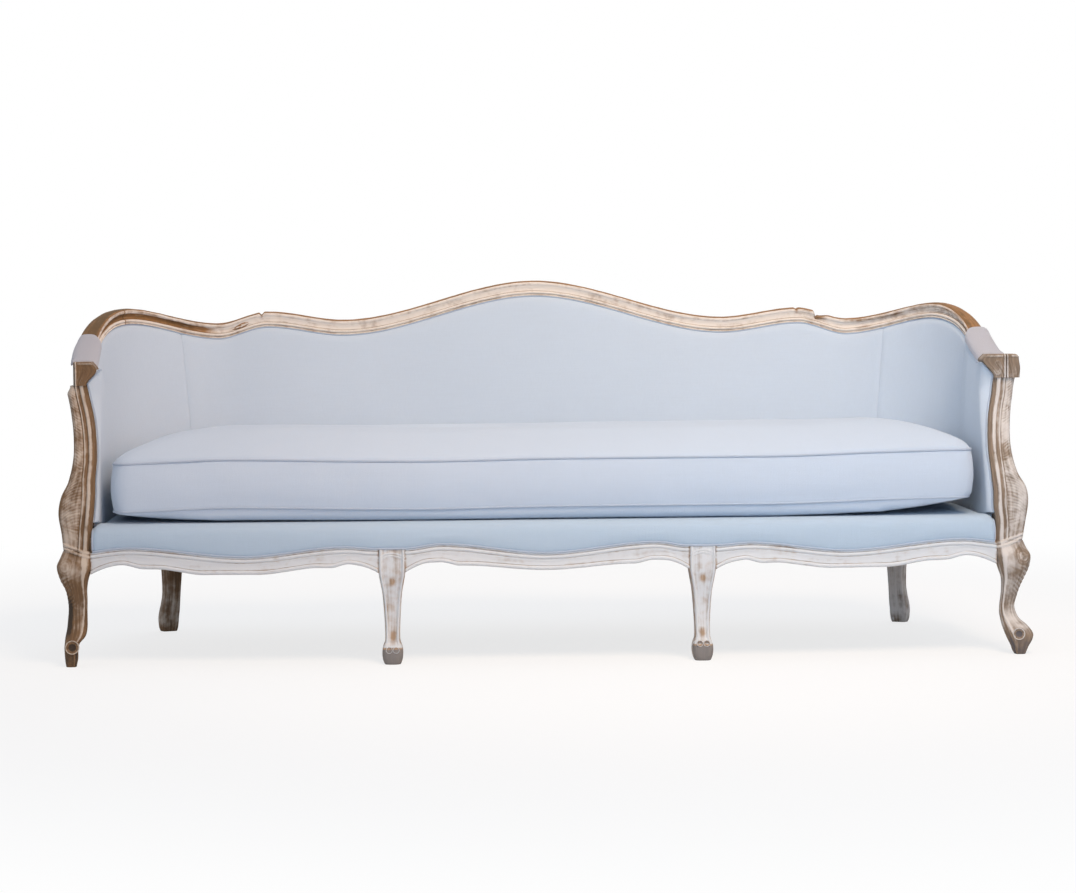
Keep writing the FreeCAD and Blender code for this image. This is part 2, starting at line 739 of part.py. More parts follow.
# Webbing
def seat_straps_deep():
    """Straps from the front rail to the back rail, tacked on top of both."""
    straps = []
    back = back_rail_front() + SEAT_RAIL_THICK - FRAME_THICK - FIT_GAP
    reach = BACK_RUN - WEB_WIDTH
    count = round(reach / WEB_PITCH)
    pitch = reach / count
    for i in range(-count, count + 1):
        x = i * pitch
        front = front_face(x) + (REBATE + FRONT_RAIL_THICK) / 2
        straps.append(box_between(x - WEB_WIDTH / 2, x + WEB_WIDTH / 2, front, back,
                                  SEAT_RAIL_TOP, SEAT_RAIL_TOP + WEB_THICK))
    return Part.makeCompound(straps)


def seat_straps_long():
    """Straps from one side rail to the other, under the first ones."""
    straps = []
    low = CORNER_LEG_Y + CORNER_LEG_SIZE / 2 + WEB_WIDTH
    span = CORNER_CENTRE_Y - low
    count = max(1, round(span / WEB_PITCH))
    pitch = span / count
    for i in range(count + 1):
        y = low + i * pitch
        straps.append(box_between(-ARM_LINE, ARM_LINE, y - WEB_WIDTH / 2, y + WEB_WIDTH / 2,
                                  SEAT_RAIL_TOP - WEB_THICK, SEAT_RAIL_TOP))
    return Part.makeCompound(straps)


def back_straps():
    """Three straps across the back uprights, let into their front faces."""
    straps = []
    reach = UPRIGHTS_X[1] + UPRIGHT_WIDTH / 2
    clear = DECK_TOP
    step = (crest_bottom(VALLEY_X) - clear) / 4
    for i in (1, 2, 3):
        z = clear + i * step
        corners = []
        for high in (z - WEB_WIDTH / 2, z + WEB_WIDTH / 2):
            inward = lean(0.0, high) - SEAT_RAIL_THICK / 2 + FRAME_THICK
            corners.append((BACK_LINE_Y - inward, high))
        (y0, z0), (y1, z1) = corners
        thick = WEB_THICK / 2
        wire = polygon([place(-reach, y0, z0), place(-reach, y1, z1),
                        place(-reach, y1 - thick, z1), place(-reach, y0 - thick, z0)])
        straps.append(Part.Face(wire).extrude(Vector(2 * reach, 0, 0)))
    return Part.makeCompound(straps)


# Covers and padding
def support_cutter(gap):
    """Everything in front of the border's rear edge and of the right-hand arm support's back."""
    border = front_face(BORDER_END_X) + BORDER_DEPTH + gap
    low = LEG_TOP - BORDER_DEPTH
    points = [(-BORDER_DEPTH, low), (border, low), (border, DECK_TOP + gap)]
    for share in support_shares():
        if support_height(share) > DECK_TOP + gap:
            points.append((support_row(share)[2] + SUPPORT_DEPTH / 2 + gap, support_height(share)))
    rear = ARM_FRONT_Y + gap
    points += [(rear, SUPPORT_TOP - gap), (rear, HEIGHT), (-BORDER_DEPTH, HEIGHT)]
    face = Part.Face(polygon([place(ARM_LINE - CORNER_RADIUS / 2, y, z) for y, z in points]))
    return face.extrude(Vector(CORNER_RADIUS, 0, 0))


def inside_section(station, low):
    """Upright section of the inside padding at a station, from a height up to the crest."""
    top = crest_bottom(station) - CLOTH_GAP
    behind = FRAME_THICK - SEAT_RAIL_THICK / 2 + WEB_THICK / 2 + CLOTH_GAP
    points = [(lean(station, low) + behind, low)]
    for share in (0.0, 0.25, 0.5, 0.75, 0.94):
        z = low + (top - low) * share
        points.append((inside_inset(station, z), z))
    points.append((inside_inset(station, top) - EDGE_TUCK, top))
    points.append((lean(station, top) + behind, top))
    return [on_line(station, inward, z) for inward, z in points]


def inside_back():
    """Middle width of the inside back, between the two seams."""
    low = SEAT_RAIL_TOP + WEB_THICK + CLOTH_GAP
    side = loft([inside_section(s, low) for s in stations(0.0, INSIDE_SEAM)])
    return side.fuse(mirrored(side))


def inside_wing():
    """Right-hand width that turns the corner and becomes the inside arm."""
    end = arm_station(CORNER_LEG_Y + SUPPORT_DEPTH / 2)
    low = SEAT_RAIL_TOP + CLOTH_GAP
    wing = loft([inside_section(s, low) for s in stations(INSIDE_SEAM + CLOTH_GAP, end)])
    return wing.cut(support_cutter(FIT_GAP))


def outside_section(station):
    """Upright section of the outside cover at a station."""
    top = crest_bottom(station) - CLOTH_GAP
    low = LEG_TOP + CLOTH_GAP
    skin = SEAT_RAIL_THICK / 2 + CLOTH_GAP
    points = []
    for z, out in ((low, skin), (low, skin + COVER_THICK), (top, skin + COVER_THICK), (top, skin)):
        points.append((lean(station, z) - out, z))
    return [on_line(station, inward, z) for inward, z in points]


def outside_back():
    side = loft([outside_section(s) for s in stations(0.0, INSIDE_SEAM)])
    return side.fuse(mirrored(side))


def outside_arm():
    end = arm_station(CORNER_LEG_Y + SUPPORT_DEPTH / 2)
    cover = loft([outside_section(s) for s in stations(INSIDE_SEAM + CLOTH_GAP, end)])
    return cover.cut(support_cutter(FIT_GAP))


def border_section(x):
    """Rolled front border: down over the rebate of the front rail and back to the deck."""
    face = front_face(x)
    low = rail_top(x) + CLOTH_GAP
    back = face + REBATE - CLOTH_GAP
    seat = SEAT_RAIL_TOP + WEB_THICK + CLOTH_GAP
    rear = face + BORDER_DEPTH
    outline = [(back, low), (face + BORDER_TUCK, low), (face - BORDER_PROUD, low + BORDER_BELLY),
               (face + BORDER_PROUD, DECK_TOP - BORDER_BELLY), (face + BORDER_SHOULDER, DECK_TOP - COVER_THICK),
               (face + BORDER_ROLL, DECK_TOP), (rear, DECK_TOP), (rear, seat), (back, seat)]
    return [place(x, y, z) for y, z in outline]


def front_border():
    return loft([border_section(x) for x in front_places(-BORDER_END_X, BORDER_END_X)])


def before_front(offset, low, high):
    """Everything in front of a line at an offset behind the front rail's face."""
    reach = RAIL_END + CORNER_LEG_SIZE
    rear = [place(x, front_face(x) + offset, low) for x in front_places(-reach, reach)]
    wire = polygon(rear + [place(reach, -offset, low), place(-reach, -offset, low)])
    return Part.Face(wire).extrude(Vector(0, 0, high - low))


def plan_outline(inset, front, low, half_front):
    """Level outline: front edge, arms and corners of the arm line moved inward, at a height."""
    arm_x = ARM_LINE - inset[1]
    back_y = BACK_LINE_Y - inset[0]
    radius = CORNER_RADIUS - inset[0] * 0.5 - inset[1] * 0.5
    corner = (arm_x - radius, back_y - radius)
    bend = radius * math.sqrt(0.5)
    right = [place(half_front, front, low), place(arm_x, corner[1], low)]
    middle = place(corner[0] + bend, corner[1] + bend, low)
    left_middle = place(-corner[0] - bend, corner[1] + bend, low)
    edges = [Part.LineSegment(right[0], right[1]).toShape(),
             Part.Arc(right[1], middle, place(corner[0], back_y, low)).toShape(),
             Part.LineSegment(place(corner[0], back_y, low), place(-corner[0], back_y, low)).toShape(),
             Part.Arc(place(-corner[0], back_y, low), left_middle, place(-arm_x, corner[1], low)).toShape(),
             Part.LineSegment(place(-arm_x, corner[1], low), place(-half_front, front, low)).toShape(),
             Part.LineSegment(place(-half_front, front, low), place(half_front, front, low)).toShape()]
    return Part.Wire(edges)


def deck_pad():
    """Flat deck behind the border, inside the inside covers."""
    low = SEAT_RAIL_TOP + WEB_THICK + CLOTH_GAP
    gap = CLOTH_GAP + DECK_SIDE_GAP
    inset = (BACK_LEAN + BACK_PAD + gap, ARM_PAD_IN + gap)
    outline = plan_outline(inset, 0.0, low, ARM_LINE - inset[1])
    body = Part.Face(outline).extrude(Vector(0, 0, DECK_TOP - low))
    return body.cut(before_front(BORDER_DEPTH + CLOTH_GAP, low - 1.0, DECK_TOP + 1.0))


def cushion_level(z, inset):
    """Level outline of the cushion at a height, drawn in by an inset."""
    half = CUSHION_HALF - inset
    middle = (CUSHION_FRONT_Y + CUSHION_REAR_Y) / 2
    deep = (CUSHION_REAR_Y - CUSHION_FRONT_Y) / 2 - inset
    nose = max(12.0, CUSHION_NOSE - 0.3 * inset)
    tail = min(CUSHION_CORNER - 0.6 * inset, 0.95 * deep)
    corners = [(1, -1, nose), (1, 1, tail), (-1, 1, tail), (-1, -1, nose)]
    points = []
    for k, (side, end, radius) in enumerate(corners):
        centre = (side * (half - radius), end * (deep - radius))
        for turn in spaced((k - 1) * math.pi / 2, k * math.pi / 2, 7):
            points.append((centre[0] + radius * math.cos(turn), centre[1] + radius * math.sin(turn)))
        if k % 2:
            points += [(side * (half - tail) * share, end * (deep + CUSHION_BOW * (1 - share * share)))
                       for share in (0.5, 0.0, -0.5)]
    return [place(x, middle + y, z) for x, y in points]


def seat_cushion():
    """Crowned bench cushion: flat where it rests, full band between the welts, domed top."""
    low = DECK_TOP + CLOTH_GAP
    rows = [(low, CUSHION_REST_IN), (low + 0.3 * CUSHION_UNDER, CUSHION_UNDER_IN),
            (CUSHION_WELT_LOW, CUSHION_EASE)]
    for share in (0.2, 0.5, 0.8):
        swell = CUSHION_SWELL * math.sin(math.pi * share)
        rows.append((CUSHION_WELT_LOW + CUSHION_BAND * share, CUSHION_EASE - swell))
    for share in spaced(0.0, 1.0, 8):
        rise = math.sin(share * math.pi / 2)
        fall = 1.0 - math.cos(share * math.pi / 2)
        rows.append((CUSHION_WELT_TOP + CUSHION_RISE * rise, CUSHION_EASE + CUSHION_DOME * fall))
    return loft([cushion_level(z, inset) for z, inset in rows])


def dust_cover():
    """Thin sheet tacked under the cross rails, inside the seat rails and round the legs."""
    high = SEAT_RAIL_TOP - CROSS_RAIL_DROP - CROSS_RAIL_HEIGHT
    low = high - DUST_COVER_THICK
    edge = SEAT_RAIL_THICK / 2 + FIT_GAP
    inset = (BACK_LEAN + edge, edge)
    sheet = Part.Face(plan_outline(inset, 0.0, low, ARM_LINE - edge)).extrude(Vector(0, 0, DUST_COVER_THICK))
    sheet = sheet.cut(before_front(FRONT_RAIL_THICK + FIT_GAP, low - 1.0, high + 1.0))
    corner = CORNER_LEG_Y + CORNER_LEG_SIZE / 2 + FIT_GAP
    middle = front_face(MIDDLE_LEG_X) + MIDDLE_LEG_DEPTH + HEAD_STEP
    notches = ((LEG_INNER - FIT_GAP, LEG_OUTER + FIT_GAP, middle), (RAIL_END - FIT_GAP, ARM_LINE, corner))
    for side in (-1, 1):
        for x0, x1, back in notches:
            left, right = sorted((side * x0, side * x1))
            sheet = sheet.cut(box_between(left, right, 0.0, back, low - 1.0, high + 1.0))
    return sheet


def both_sides(name, right):
    return {name + "_right": right, name + "_left": mirrored(right)}


def build():
    """Every node by name."""
    nodes = {}
    nodes.update(both_sides("crest_rail", crest_rail()))
    nodes.update(both_sides("crest_corner", crest_corner()))
    nodes.update(both_sides("arm_rail", arm_rail()))
    nodes.update(both_sides("arm_pad", arm_pad()))
    nodes.update(both_sides("arm_support", arm_support()))
    nodes["front_leg_right"] = corner_leg(TURNED_OUT_FOOT)
    nodes["front_leg_left"] = mirrored(corner_leg(TURNED_FORWARD_FOOT))
    nodes.update(both_sides("middle_leg", middle_leg()))
    nodes.update(both_sides("rear_leg", rear_leg()))
    nodes["front_rail_centre"] = front_rail_centre()
    nodes.update(both_sides("front_rail", front_rail_side()))
    nodes.update(both_sides("side_rail", side_rail()))
    nodes["back_rail"] = back_rail()
    nodes.update(both_sides("seat_cross_rail", cross_rail()))
    nodes.update(both_sides("back_upright_inner", upright(UPRIGHTS_X[0])))
    nodes.update(both_sides("back_upright_outer", upright(UPRIGHTS_X[1])))
    nodes.update(both_sides("corner_block", corner_block()))
    nodes["support_tenons"] = support_tenons()
    nodes["seat_webbing_deep"] = seat_straps_deep()
    nodes["seat_webbing_long"] = seat_straps_long()
    nodes["back_webbing"] = back_straps()
    nodes["inside_back"] = inside_back()
    nodes.update(both_sides("inside_wing", inside_wing()))
    nodes["outside_back"] = outside_back()
    nodes.update(both_sides("outside_arm", outside_arm()))
    nodes["front_border"] = front_border()
    nodes["deck_pad"] = deck_pad()
    nodes["dust_cover"] = dust_cover()
    nodes["seat_cushion"] = seat_cushion()
    return nodes


def main():
    os.makedirs("parts", exist_ok=True)
    for name, shape in build().items():
        if not shape.isValid():
            print("not valid:", name)
        shape.exportStep("parts/" + name + ".step")
        print(name, "solids", len(shape.Solids), "volume", round(shape.Volume / 1000.0), "cm3")


main()
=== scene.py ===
"""Looks of a camel-back canape with a limed show-wood frame and one loose bench cushion.

Metres. X runs across the sofa, Y from front to rear and Z up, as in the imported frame. The long
pieces follow one plan line, the arm line, and a place on it is given by its station: the distance
walked from the middle of the back, positive to the right and negative to the left.
"""

import logging
from dataclasses import dataclass
from enum import Enum
from functools import partialmethod
from math import cos, exp, hypot, pi, radians, sin, sqrt
from typing import Callable, Iterable, Sequence

import bmesh
import bpy
from mathutils import Matrix, Vector, noise
from mathutils.bvhtree import BVHTree


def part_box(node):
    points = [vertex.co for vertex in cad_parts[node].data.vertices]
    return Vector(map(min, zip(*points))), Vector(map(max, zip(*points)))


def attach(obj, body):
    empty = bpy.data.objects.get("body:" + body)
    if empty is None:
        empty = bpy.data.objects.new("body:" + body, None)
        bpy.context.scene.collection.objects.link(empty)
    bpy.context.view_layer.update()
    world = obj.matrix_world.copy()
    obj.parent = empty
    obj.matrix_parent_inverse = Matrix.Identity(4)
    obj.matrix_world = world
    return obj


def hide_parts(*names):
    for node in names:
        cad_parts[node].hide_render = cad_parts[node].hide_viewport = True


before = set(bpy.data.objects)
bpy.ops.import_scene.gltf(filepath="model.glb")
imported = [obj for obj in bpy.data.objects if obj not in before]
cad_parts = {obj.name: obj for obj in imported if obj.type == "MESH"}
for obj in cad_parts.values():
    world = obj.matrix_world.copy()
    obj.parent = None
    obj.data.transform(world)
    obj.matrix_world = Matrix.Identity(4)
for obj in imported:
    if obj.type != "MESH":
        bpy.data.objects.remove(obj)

LOG = logging.getLogger("canape")
PHOTO_WIDTH = 1076
FRAME_BODY = "frame"
CUSHION_BODY = "cushion"

Piece = bpy.types.Object
Finish = bpy.types.Material
Ring = list[Vector]
Tints = list[float]
Section = tuple[Ring, Tints]
Row = tuple[float, float, float]
Relief = Callable[[float, float], tuple[float, float]]
Along = Callable[[float], float]
Woods = dict["Side", Finish]


class Side(Enum):
    """The two sides of the sofa, as seen from the front."""

    LEFT = -1
    RIGHT = 1

    @property
    def word(self) -> str:
        """Ending of the node names on this side."""
        return self.name.lower()


# Small curves

def ease(low: float, high: float, at: float) -> float:
    """Smooth step from 0 at low to 1 at high."""
    share = min(1.0, max(0.0, (at - low) / (high - low)))
    return share * share * (3.0 - 2.0 * share)


def fade(low: float, high: float, at: float) -> float:
    """Smooth step from 1 at low to 0 at high."""
    return 1.0 - ease(low, high, at)


def hump(centre: float, reach: float, at: float) -> float:
    """Rounded bump of height 1 at the centre that ends at the reach."""
    away = abs(at - centre) / reach
    return 0.0 if away >= 1.0 else cos(away * pi / 2.0) ** 2


def bead(centre: float, half: float, at: float) -> float:
    """Half-round bead of height 1."""
    away = abs(at - centre) / half
    return 0.0 if away >= 1.0 else sqrt(1.0 - away * away)


def through(knots: Sequence[Sequence[float]], at: float) -> float:
    """Height of the cubic curve through knots of place, height and, where it isn't level, slope."""
    if at <= knots[0][0]:
        return knots[0][1]
    for a, b in zip(knots, knots[1:]):
        if at <= b[0]:
            span = b[0] - a[0]
            u = (at - a[0]) / span
            slope_a, slope_b = (knot[2] if len(knot) > 2 else 0.0 for knot in (a, b))
            rise = a[1] + (b[1] - a[1]) * (3.0 * u * u - 2.0 * u ** 3)
            return rise + span * (slope_a * u * (1.0 - u) ** 2 - slope_b * u * u * (1.0 - u))
    return knots[-1][1]


def smooth_row(rows: Sequence[Sequence[float]], at: float) -> list[float]:
    """Values at a place of a table whose rows start with their rising place, on smooth curves between them."""
    index = 0
    while index < len(rows) - 2 and at > rows[index + 1][0]:
        index += 1
    before, after = rows[max(index - 1, 0)], rows[min(index + 2, len(rows) - 1)]
    a, b = rows[index], rows[index + 1]
    values = []
    for k in range(1, len(a)):
        slope_a = (b[k] - before[k]) / (b[0] - before[0])
        slope_b = (after[k] - a[k]) / (after[0] - a[0])
        values.append(through([(a[0], a[k], slope_a), (b[0], b[k], slope_b)], at))
    return values


def spaced(low: float, high: float, pitch: float) -> list[float]:
    """Even places from low to high, about a pitch apart, both ends included."""
    count = max(1, round(abs(high - low) / pitch))
    return [low + (high - low) * i / count for i in range(count + 1)]


def ripple(point: Vector, scale: float, seed: float) -> float:
    """Soft repeatable unevenness between about -1 and 1."""
    return noise.noise(point * scale + Vector((seed, 2.0 * seed, 3.0 * seed)))


@dataclass(frozen=True)
class SofaPlan:
    """Main sizes and the shared lines of the sofa."""

    height: float = 0.95
    depth: float = 0.825
    arm_line: float = 1.157
    corner_radius: float = 0.35
    rail_thick: float = 0.05
    crest_face: float = 0.041
    arm_face: float = 0.031
    crest_joint: float = 0.62
    arm_front: float = 0.222
    support_top: float = 0.691
    leg_top: float = 0.285
    back_lean: float = 0.055
    back_pad: float = 0.085
    arm_pad: float = 0.045
    inside_seam: float = 0.98
    seat_rail_top: float = 0.318
    seat_rail_bottom: float = 0.246
    seat_rail_thick: float = 0.038
    show_line: float = 0.285
    deck_top: float = 0.35
    corner_leg_x: float = 1.164
    corner_leg_y: float = 0.088
    corner_leg_size: float = 0.068
    middle_leg_x: float = 0.385
    middle_leg_width: float = 0.066
    border_depth: float = 0.062
    border_end: float = 1.126
    ear_run: float = 0.333
    arm_swell: float = 0.016
    left_flare: float = 0.018
    left_ear: float = 0.007

    @property
    def back_line(self) -> float:
        """Distance of the middle of the crest behind the front toes."""
        return self.depth - self.rail_thick / 2.0

    @property
    def back_run(self) -> float:
        """Station where the straight back ends."""
        return self.arm_line - self.corner_radius

    @property
    def arm_rear(self) -> float:
        """Station where the corner ends and the straight arm begins."""
        return self.back_run + self.corner_radius * pi / 2.0

    @property
    def corner_centre(self) -> float:
        """Distance of the corner's centre behind the front toes."""
        return self.back_line - self.corner_radius

    def place(self, x: float, behind: float, z: float) -> Vector:
        """A point given by its distance behind the front toes."""
        return Vector((x, behind - self.depth / 2.0, z))

    def behind(self, station: float) -> float:
        """Distance behind the front toes of a station on the arm."""
        return self.corner_centre - (abs(station) - self.arm_rear)

    def arm_station(self, behind: float) -> float:
        """Station on the straight arm at a distance behind the front toes."""
        return self.arm_rear + self.corner_centre - behind

    def flare(self, station: float, z: float) -> float:
        """How much wider the left arm stands at a station and a height."""
        walk = -station
        loss = (1.0 - 0.55 * ease(0.7, 0.74, z)) * ease(1.38, 1.6, walk)
        return self.left_flare * ease(0.98, 1.24, walk) * (1.0 - loss) * ease(0.36, 0.68, z)

    def ear_width(self, station: float) -> float:
        """How much broader the wood of the left ear is on its inner side."""
        walk = -station
        return self.left_ear * ease(1.12, 1.28, walk) * fade(1.37, 1.45, walk)

    def on_line(self, station: float, inward: float, z: float) -> Vector:
        """A point on the arm line, moved inward."""
        hand = -1.0 if station < 0.0 else 1.0
        walk = abs(station)
        inward -= self.flare(station, z)
        if walk <= self.back_run:
            return self.place(station, self.back_line - inward, z)
        if walk <= self.arm_rear:
            turn = (walk - self.back_run) / self.corner_radius
            reach = self.corner_radius - inward
            return self.place(hand * (self.back_run + reach * sin(turn)), self.corner_centre + reach * cos(turn), z)
        return self.place(hand * (self.arm_line - inward), self.corner_centre - (walk - self.arm_rear), z)

    def crest_top(self, station: float) -> float:
        """Height of the top line of the crest and the arms."""
        knots = [(0.0, self.height), (0.52, 0.847), (0.728, 0.871), (0.865, 0.84),
                 (self.back_run + self.ear_run, 0.882), (self.arm_rear, 0.811, -0.45),
                 (self.arm_station(self.arm_front), 0.735, -0.25)]
        return through(knots, abs(station))

    def crest_bottom(self, station: float) -> float:
        """Height of the lower edge of the wood, where the cloth begins."""
        walk = abs(station)
        face = through([(self.back_run + self.ear_run, self.crest_face), (self.arm_rear, self.arm_face)], walk)
        front = self.arm_station(self.arm_front)
        return self.crest_top(walk) - face - 0.013 * ease(front - 0.09, front, walk)

    def lean(self, station: float, z: float) -> float:
        """How far the raked back has moved inward at a height."""
        share = through([(self.back_run, 1.0), (self.back_run + self.corner_radius, 0.0)], abs(station))
        rise = (self.height - max(z, self.seat_rail_top)) / (self.height - self.seat_rail_top)
        return self.back_lean * share * rise

    def cloth_top(self, station: float) -> float:
        """Height where the inside cloth ends: under the crest's wood, and close under the pads on the arms."""
        walk = abs(station)
        if walk <= self.arm_rear:
            return self.crest_bottom(walk)
        drop = through([(self.arm_rear, self.arm_face), (self.arm_rear + 0.09, 0.012, -0.03),
                        (self.arm_station(self.arm_front), 0.004, 0.0)], walk)
        return self.crest_top(walk) - drop

    def top_inset(self, station: float) -> float:
        """Distance of the inside cloth's upper edge from the arm line."""
        swell = self.arm_swell * ease(self.arm_rear - 0.02, self.arm_rear + 0.1, abs(station))
        inner = self.rail_thick / 2.0 - 0.002 + self.ear_width(station)
        return self.lean(station, self.cloth_top(station)) + inner + swell

    def inside_inset(self, station: float, z: float) -> float:
        """Distance of the inside cloth from the arm line: thin at the top, thick at the seat."""
        top = self.cloth_top(station)
        down = min(1.0, max(0.0, (top - z) / (top - self.seat_rail_top)))
        back = through([(self.back_run, 1.0), (self.arm_rear, 0.0)], abs(station))
        foot = self.arm_pad + (self.back_lean + self.back_pad - self.arm_pad) * back
        start = self.top_inset(station)
        return start + (foot - start) * down ** 0.9 + 0.006 * sin(pi * down)

    def front_face(self, x: float) -> float:
        """Distance of the front rail's face behind the toes."""
        knots = [(0.0, 0.016), (0.385, 0.006), (0.75, 0.03, 0.08), (1.13, 0.055, 0.04)]
        return through(knots, abs(x))

    def rail_high(self, x: float) -> float:
        """Height of the top edge of the shown front rail."""
        knots = [(0.0, 0.27), (0.266, 0.295), (0.352, 0.285), (0.418, 0.285),
                 (0.5, 0.29), (0.75, 0.2665), (1.04, 0.2895), (1.13, 0.28, -0.1)]
        return through(knots, abs(x))

    def rail_low(self, x: float) -> float:
        """Height of the scalloped lower edge of the front rail."""
        knots = [(0.0, 0.229), (0.215, 0.243), (0.262, 0.252), (0.295, 0.251, -0.1),
                 (0.352, 0.228, -0.6), (0.418, 0.227, 0.6), (0.466, 0.246, 0.15), (0.492, 0.2495),
                 (0.535, 0.2405), (0.585, 0.24, -0.1), (0.72, 0.2245), (0.85, 0.2245),
                 (0.958, 0.2385, 0.05), (1.004, 0.24, 0.1), (1.052, 0.25), (1.13, 0.227, -0.5)]
        return through(knots, abs(x))


PLAN = SofaPlan()


# Meshes

def linked(name: str, data: bpy.types.ID) -> Piece:
    """New object in the scene."""
    piece = bpy.data.objects.new(name, data)
    bpy.context.scene.collection.objects.link(piece)
    return piece


def bake(piece: Piece) -> None:
    """Applies the live modifiers of a piece."""
    graph = bpy.context.evaluated_depsgraph_get()
    mesh = bpy.data.meshes.new_from_object(piece.evaluated_get(graph))
    piece.modifiers.clear()
    piece.data = mesh
    mesh.name = piece.name


def flat_list(points: Sequence[Vector]) -> list[float]:
    """Coordinates of points in one row."""
    return [value for point in points for value in point]


def enclosed(mesh: bpy.types.Mesh) -> float:
    """Signed volume of a closed mesh, positive where its faces point outward."""
    mesh.calc_loop_triangles()
    total = 0.0
    places = [vertex.co for vertex in mesh.vertices]
    for triangle in mesh.loop_triangles:
        a, b, c = (places[i] for i in triangle.vertices)
        total += a.dot(b.cross(c))
    return total


def skin(name: str, rings: Sequence[Ring], tints: Sequence[Tints] | None = None, sharp: float = 40.0) -> Piece:
    """Closed mesh through rings of as many points each.

    Args:
        name: name of the piece.
        rings: the cross-sections in order.
        tints: lime of each point, from -1 for grime and painted shade over 0 for bare wood to 1 for white lime.
        sharp: edges that turn by more than this many degrees stay crisp.

    Returns:
        The object, with a UV map in metres along and around the piece.
    """
    count, last = len(rings[0]), len(rings) - 1
    faces: list[tuple[int, ...]] = []
    for i in range(last):
        a, b = i * count, (i + 1) * count
        for k in range(count):
            n = (k + 1) % count
            faces.append((a + k, a + n, b + n, b + k))
    faces.append(tuple(range(count)))
    faces.append(tuple(last * count + k for k in range(count)))
    mesh = bpy.data.meshes.new(name)
    mesh.from_pydata([point for ring in rings for point in ring], [], faces)
    along, girth = [0.0], [0.0]
    middles = [sum(ring, Vector()) / count for ring in rings]
    for a, b in zip(middles, middles[1:]):
        along.append(along[-1] + (b - a).length)
    widest = rings[last // 2]
    for k in range(count):
        girth.append(girth[-1] + (widest[(k + 1) % count] - widest[k]).length)
    loops: list[float] = []
    for i in range(last):
        for k in range(count):
            loops += [along[i], girth[k], along[i], girth[k + 1], along[i + 1], girth[k + 1],
                      along[i + 1], girth[k]]
    for ring in (rings[0], rings[last]):
        for point in ring:
            loops += [point.x + point.y, point.z]
    layer = mesh.uv_layers.new(name="UVMap")
    layer.data.foreach_set("uv", loops)
    if tints is not None:
        lime = mesh.attributes.new("lime", "FLOAT", "POINT")
        lime.data.foreach_set("value", [value for row in tints for value in row])
    if enclosed(mesh) < 0.0:
        mesh.flip_normals()
    mesh.shade_smooth()
    mesh.set_sharp_from_angle(angle=radians(sharp))
    mesh.update()
    return linked(name, mesh)


def lofted(name: str, sections: Iterable[Section], sharp: float) -> Piece:
    """Closed mesh through sections that bring their lime."""
    rings, tints = zip(*sections)
    return skin(name, rings, tints, sharp)


def half_round(middle: tuple[float, float], half: tuple[float, float], lime: float, count: int = 5) -> list[Row]:
    """Rows of inset, height and lime over a half-round bead."""
    turns = [pi * (step / (count - 1.0) - 0.5) for step in range(count)]
    return [(middle[0] + half[0] * cos(turn), middle[1] + half[1] * sin(turn), lime) for turn in turns]


def joined(name: str, pieces: Sequence[Piece]) -> Piece:
    """One object from several meshes, which are removed."""
    result = bmesh.new()
    for piece in pieces:
        result.from_mesh(piece.data)
    mesh = bpy.data.meshes.new(name)
    result.to_mesh(mesh)
    result.free()
    for piece in pieces:
        bpy.data.objects.remove(piece, do_unlink=True)
    return linked(name, mesh)


def fitted(piece: Piece, nodes: Sequence[str] = (), body: str = FRAME_BODY,
           finish: Finish | None = None) -> Piece:
    """Gives a piece its finish, body and slot, and hides the CAD nodes that it stands for.

    Args:
        piece: the finished object.
        nodes: CAD nodes that the piece replaces.
        body: the body it moves with.
        finish: its material, where it doesn't have one yet.

    Returns:
        The same object.
    """
    if finish is not None:
        piece.data.materials.clear()
        piece.data.materials.append(finish)
    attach(piece, body)
    if nodes:
        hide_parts(*nodes)
    LOG.info("%s: %d vertices, rides on %s", piece.name, len(piece.data.vertices), body)
    return piece


# Node trees

class Link:
    """A value, colour or mesh in a node tree, with operators that add Math nodes."""

    def __init__(self, nodes: "Nodes", socket: bpy.types.NodeSocket) -> None:
        """Wraps one output socket."""
        self.nodes = nodes
        self.socket = socket

    def _math(self, operation: str, *others: "Link | float") -> "Link":
        """Adds one Math node that starts from this value."""
        return self.nodes.add("ShaderNodeMath", {"operation": operation}, dict(enumerate((self, *others))))

    __add__ = __radd__ = partialmethod(_math, "ADD")
    __mul__ = partialmethod(_math, "MULTIPLY")
    __sub__ = partialmethod(_math, "SUBTRACT")
    sine = partialmethod(_math, "SINE")

    def __rsub__(self, other: float) -> "Link":
        """Difference from a number."""
        return self.nodes.add("ShaderNodeMath", {"operation": "SUBTRACT"}, {0: other, 1: self})

    def between(self, low: float, high: float) -> "Link":
        """Smooth step from 0 at low to 1 at high."""
        settings = {"interpolation_type": "SMOOTHSTEP"}
        return self.nodes.add("ShaderNodeMapRange", settings, {0: self, 1: low, 2: high, 3: 0.0, 4: 1.0})


class Nodes:
    """One node tree, emptied and filled with linked nodes."""

    def __init__(self, tree: bpy.types.NodeTree) -> None:
        """Empties the tree."""
        self.tree = tree
        tree.nodes.clear()

    def add(self, kind: str, settings: dict[str, object], values: dict[int | str, object],
            out: int | str = 0) -> Link | None:
        """Adds any node.

        Args:
            kind: the node's type.
            settings: attributes that are set first.
            values: numbers, colours or links by input.
            out: the output wanted.

        Returns:
            That output, or nothing for a node without outputs.
        """
        made = self.tree.nodes.new(kind)
        for name, value in settings.items():
            setattr(made, name, value)
        for key, value in values.items():
            if isinstance(value, Link):
                self.tree.links.new(value.socket, made.inputs[key])
            else:
                made.inputs[key].default_value = value
        return Link(self, made.outputs[out]) if made.outputs else None


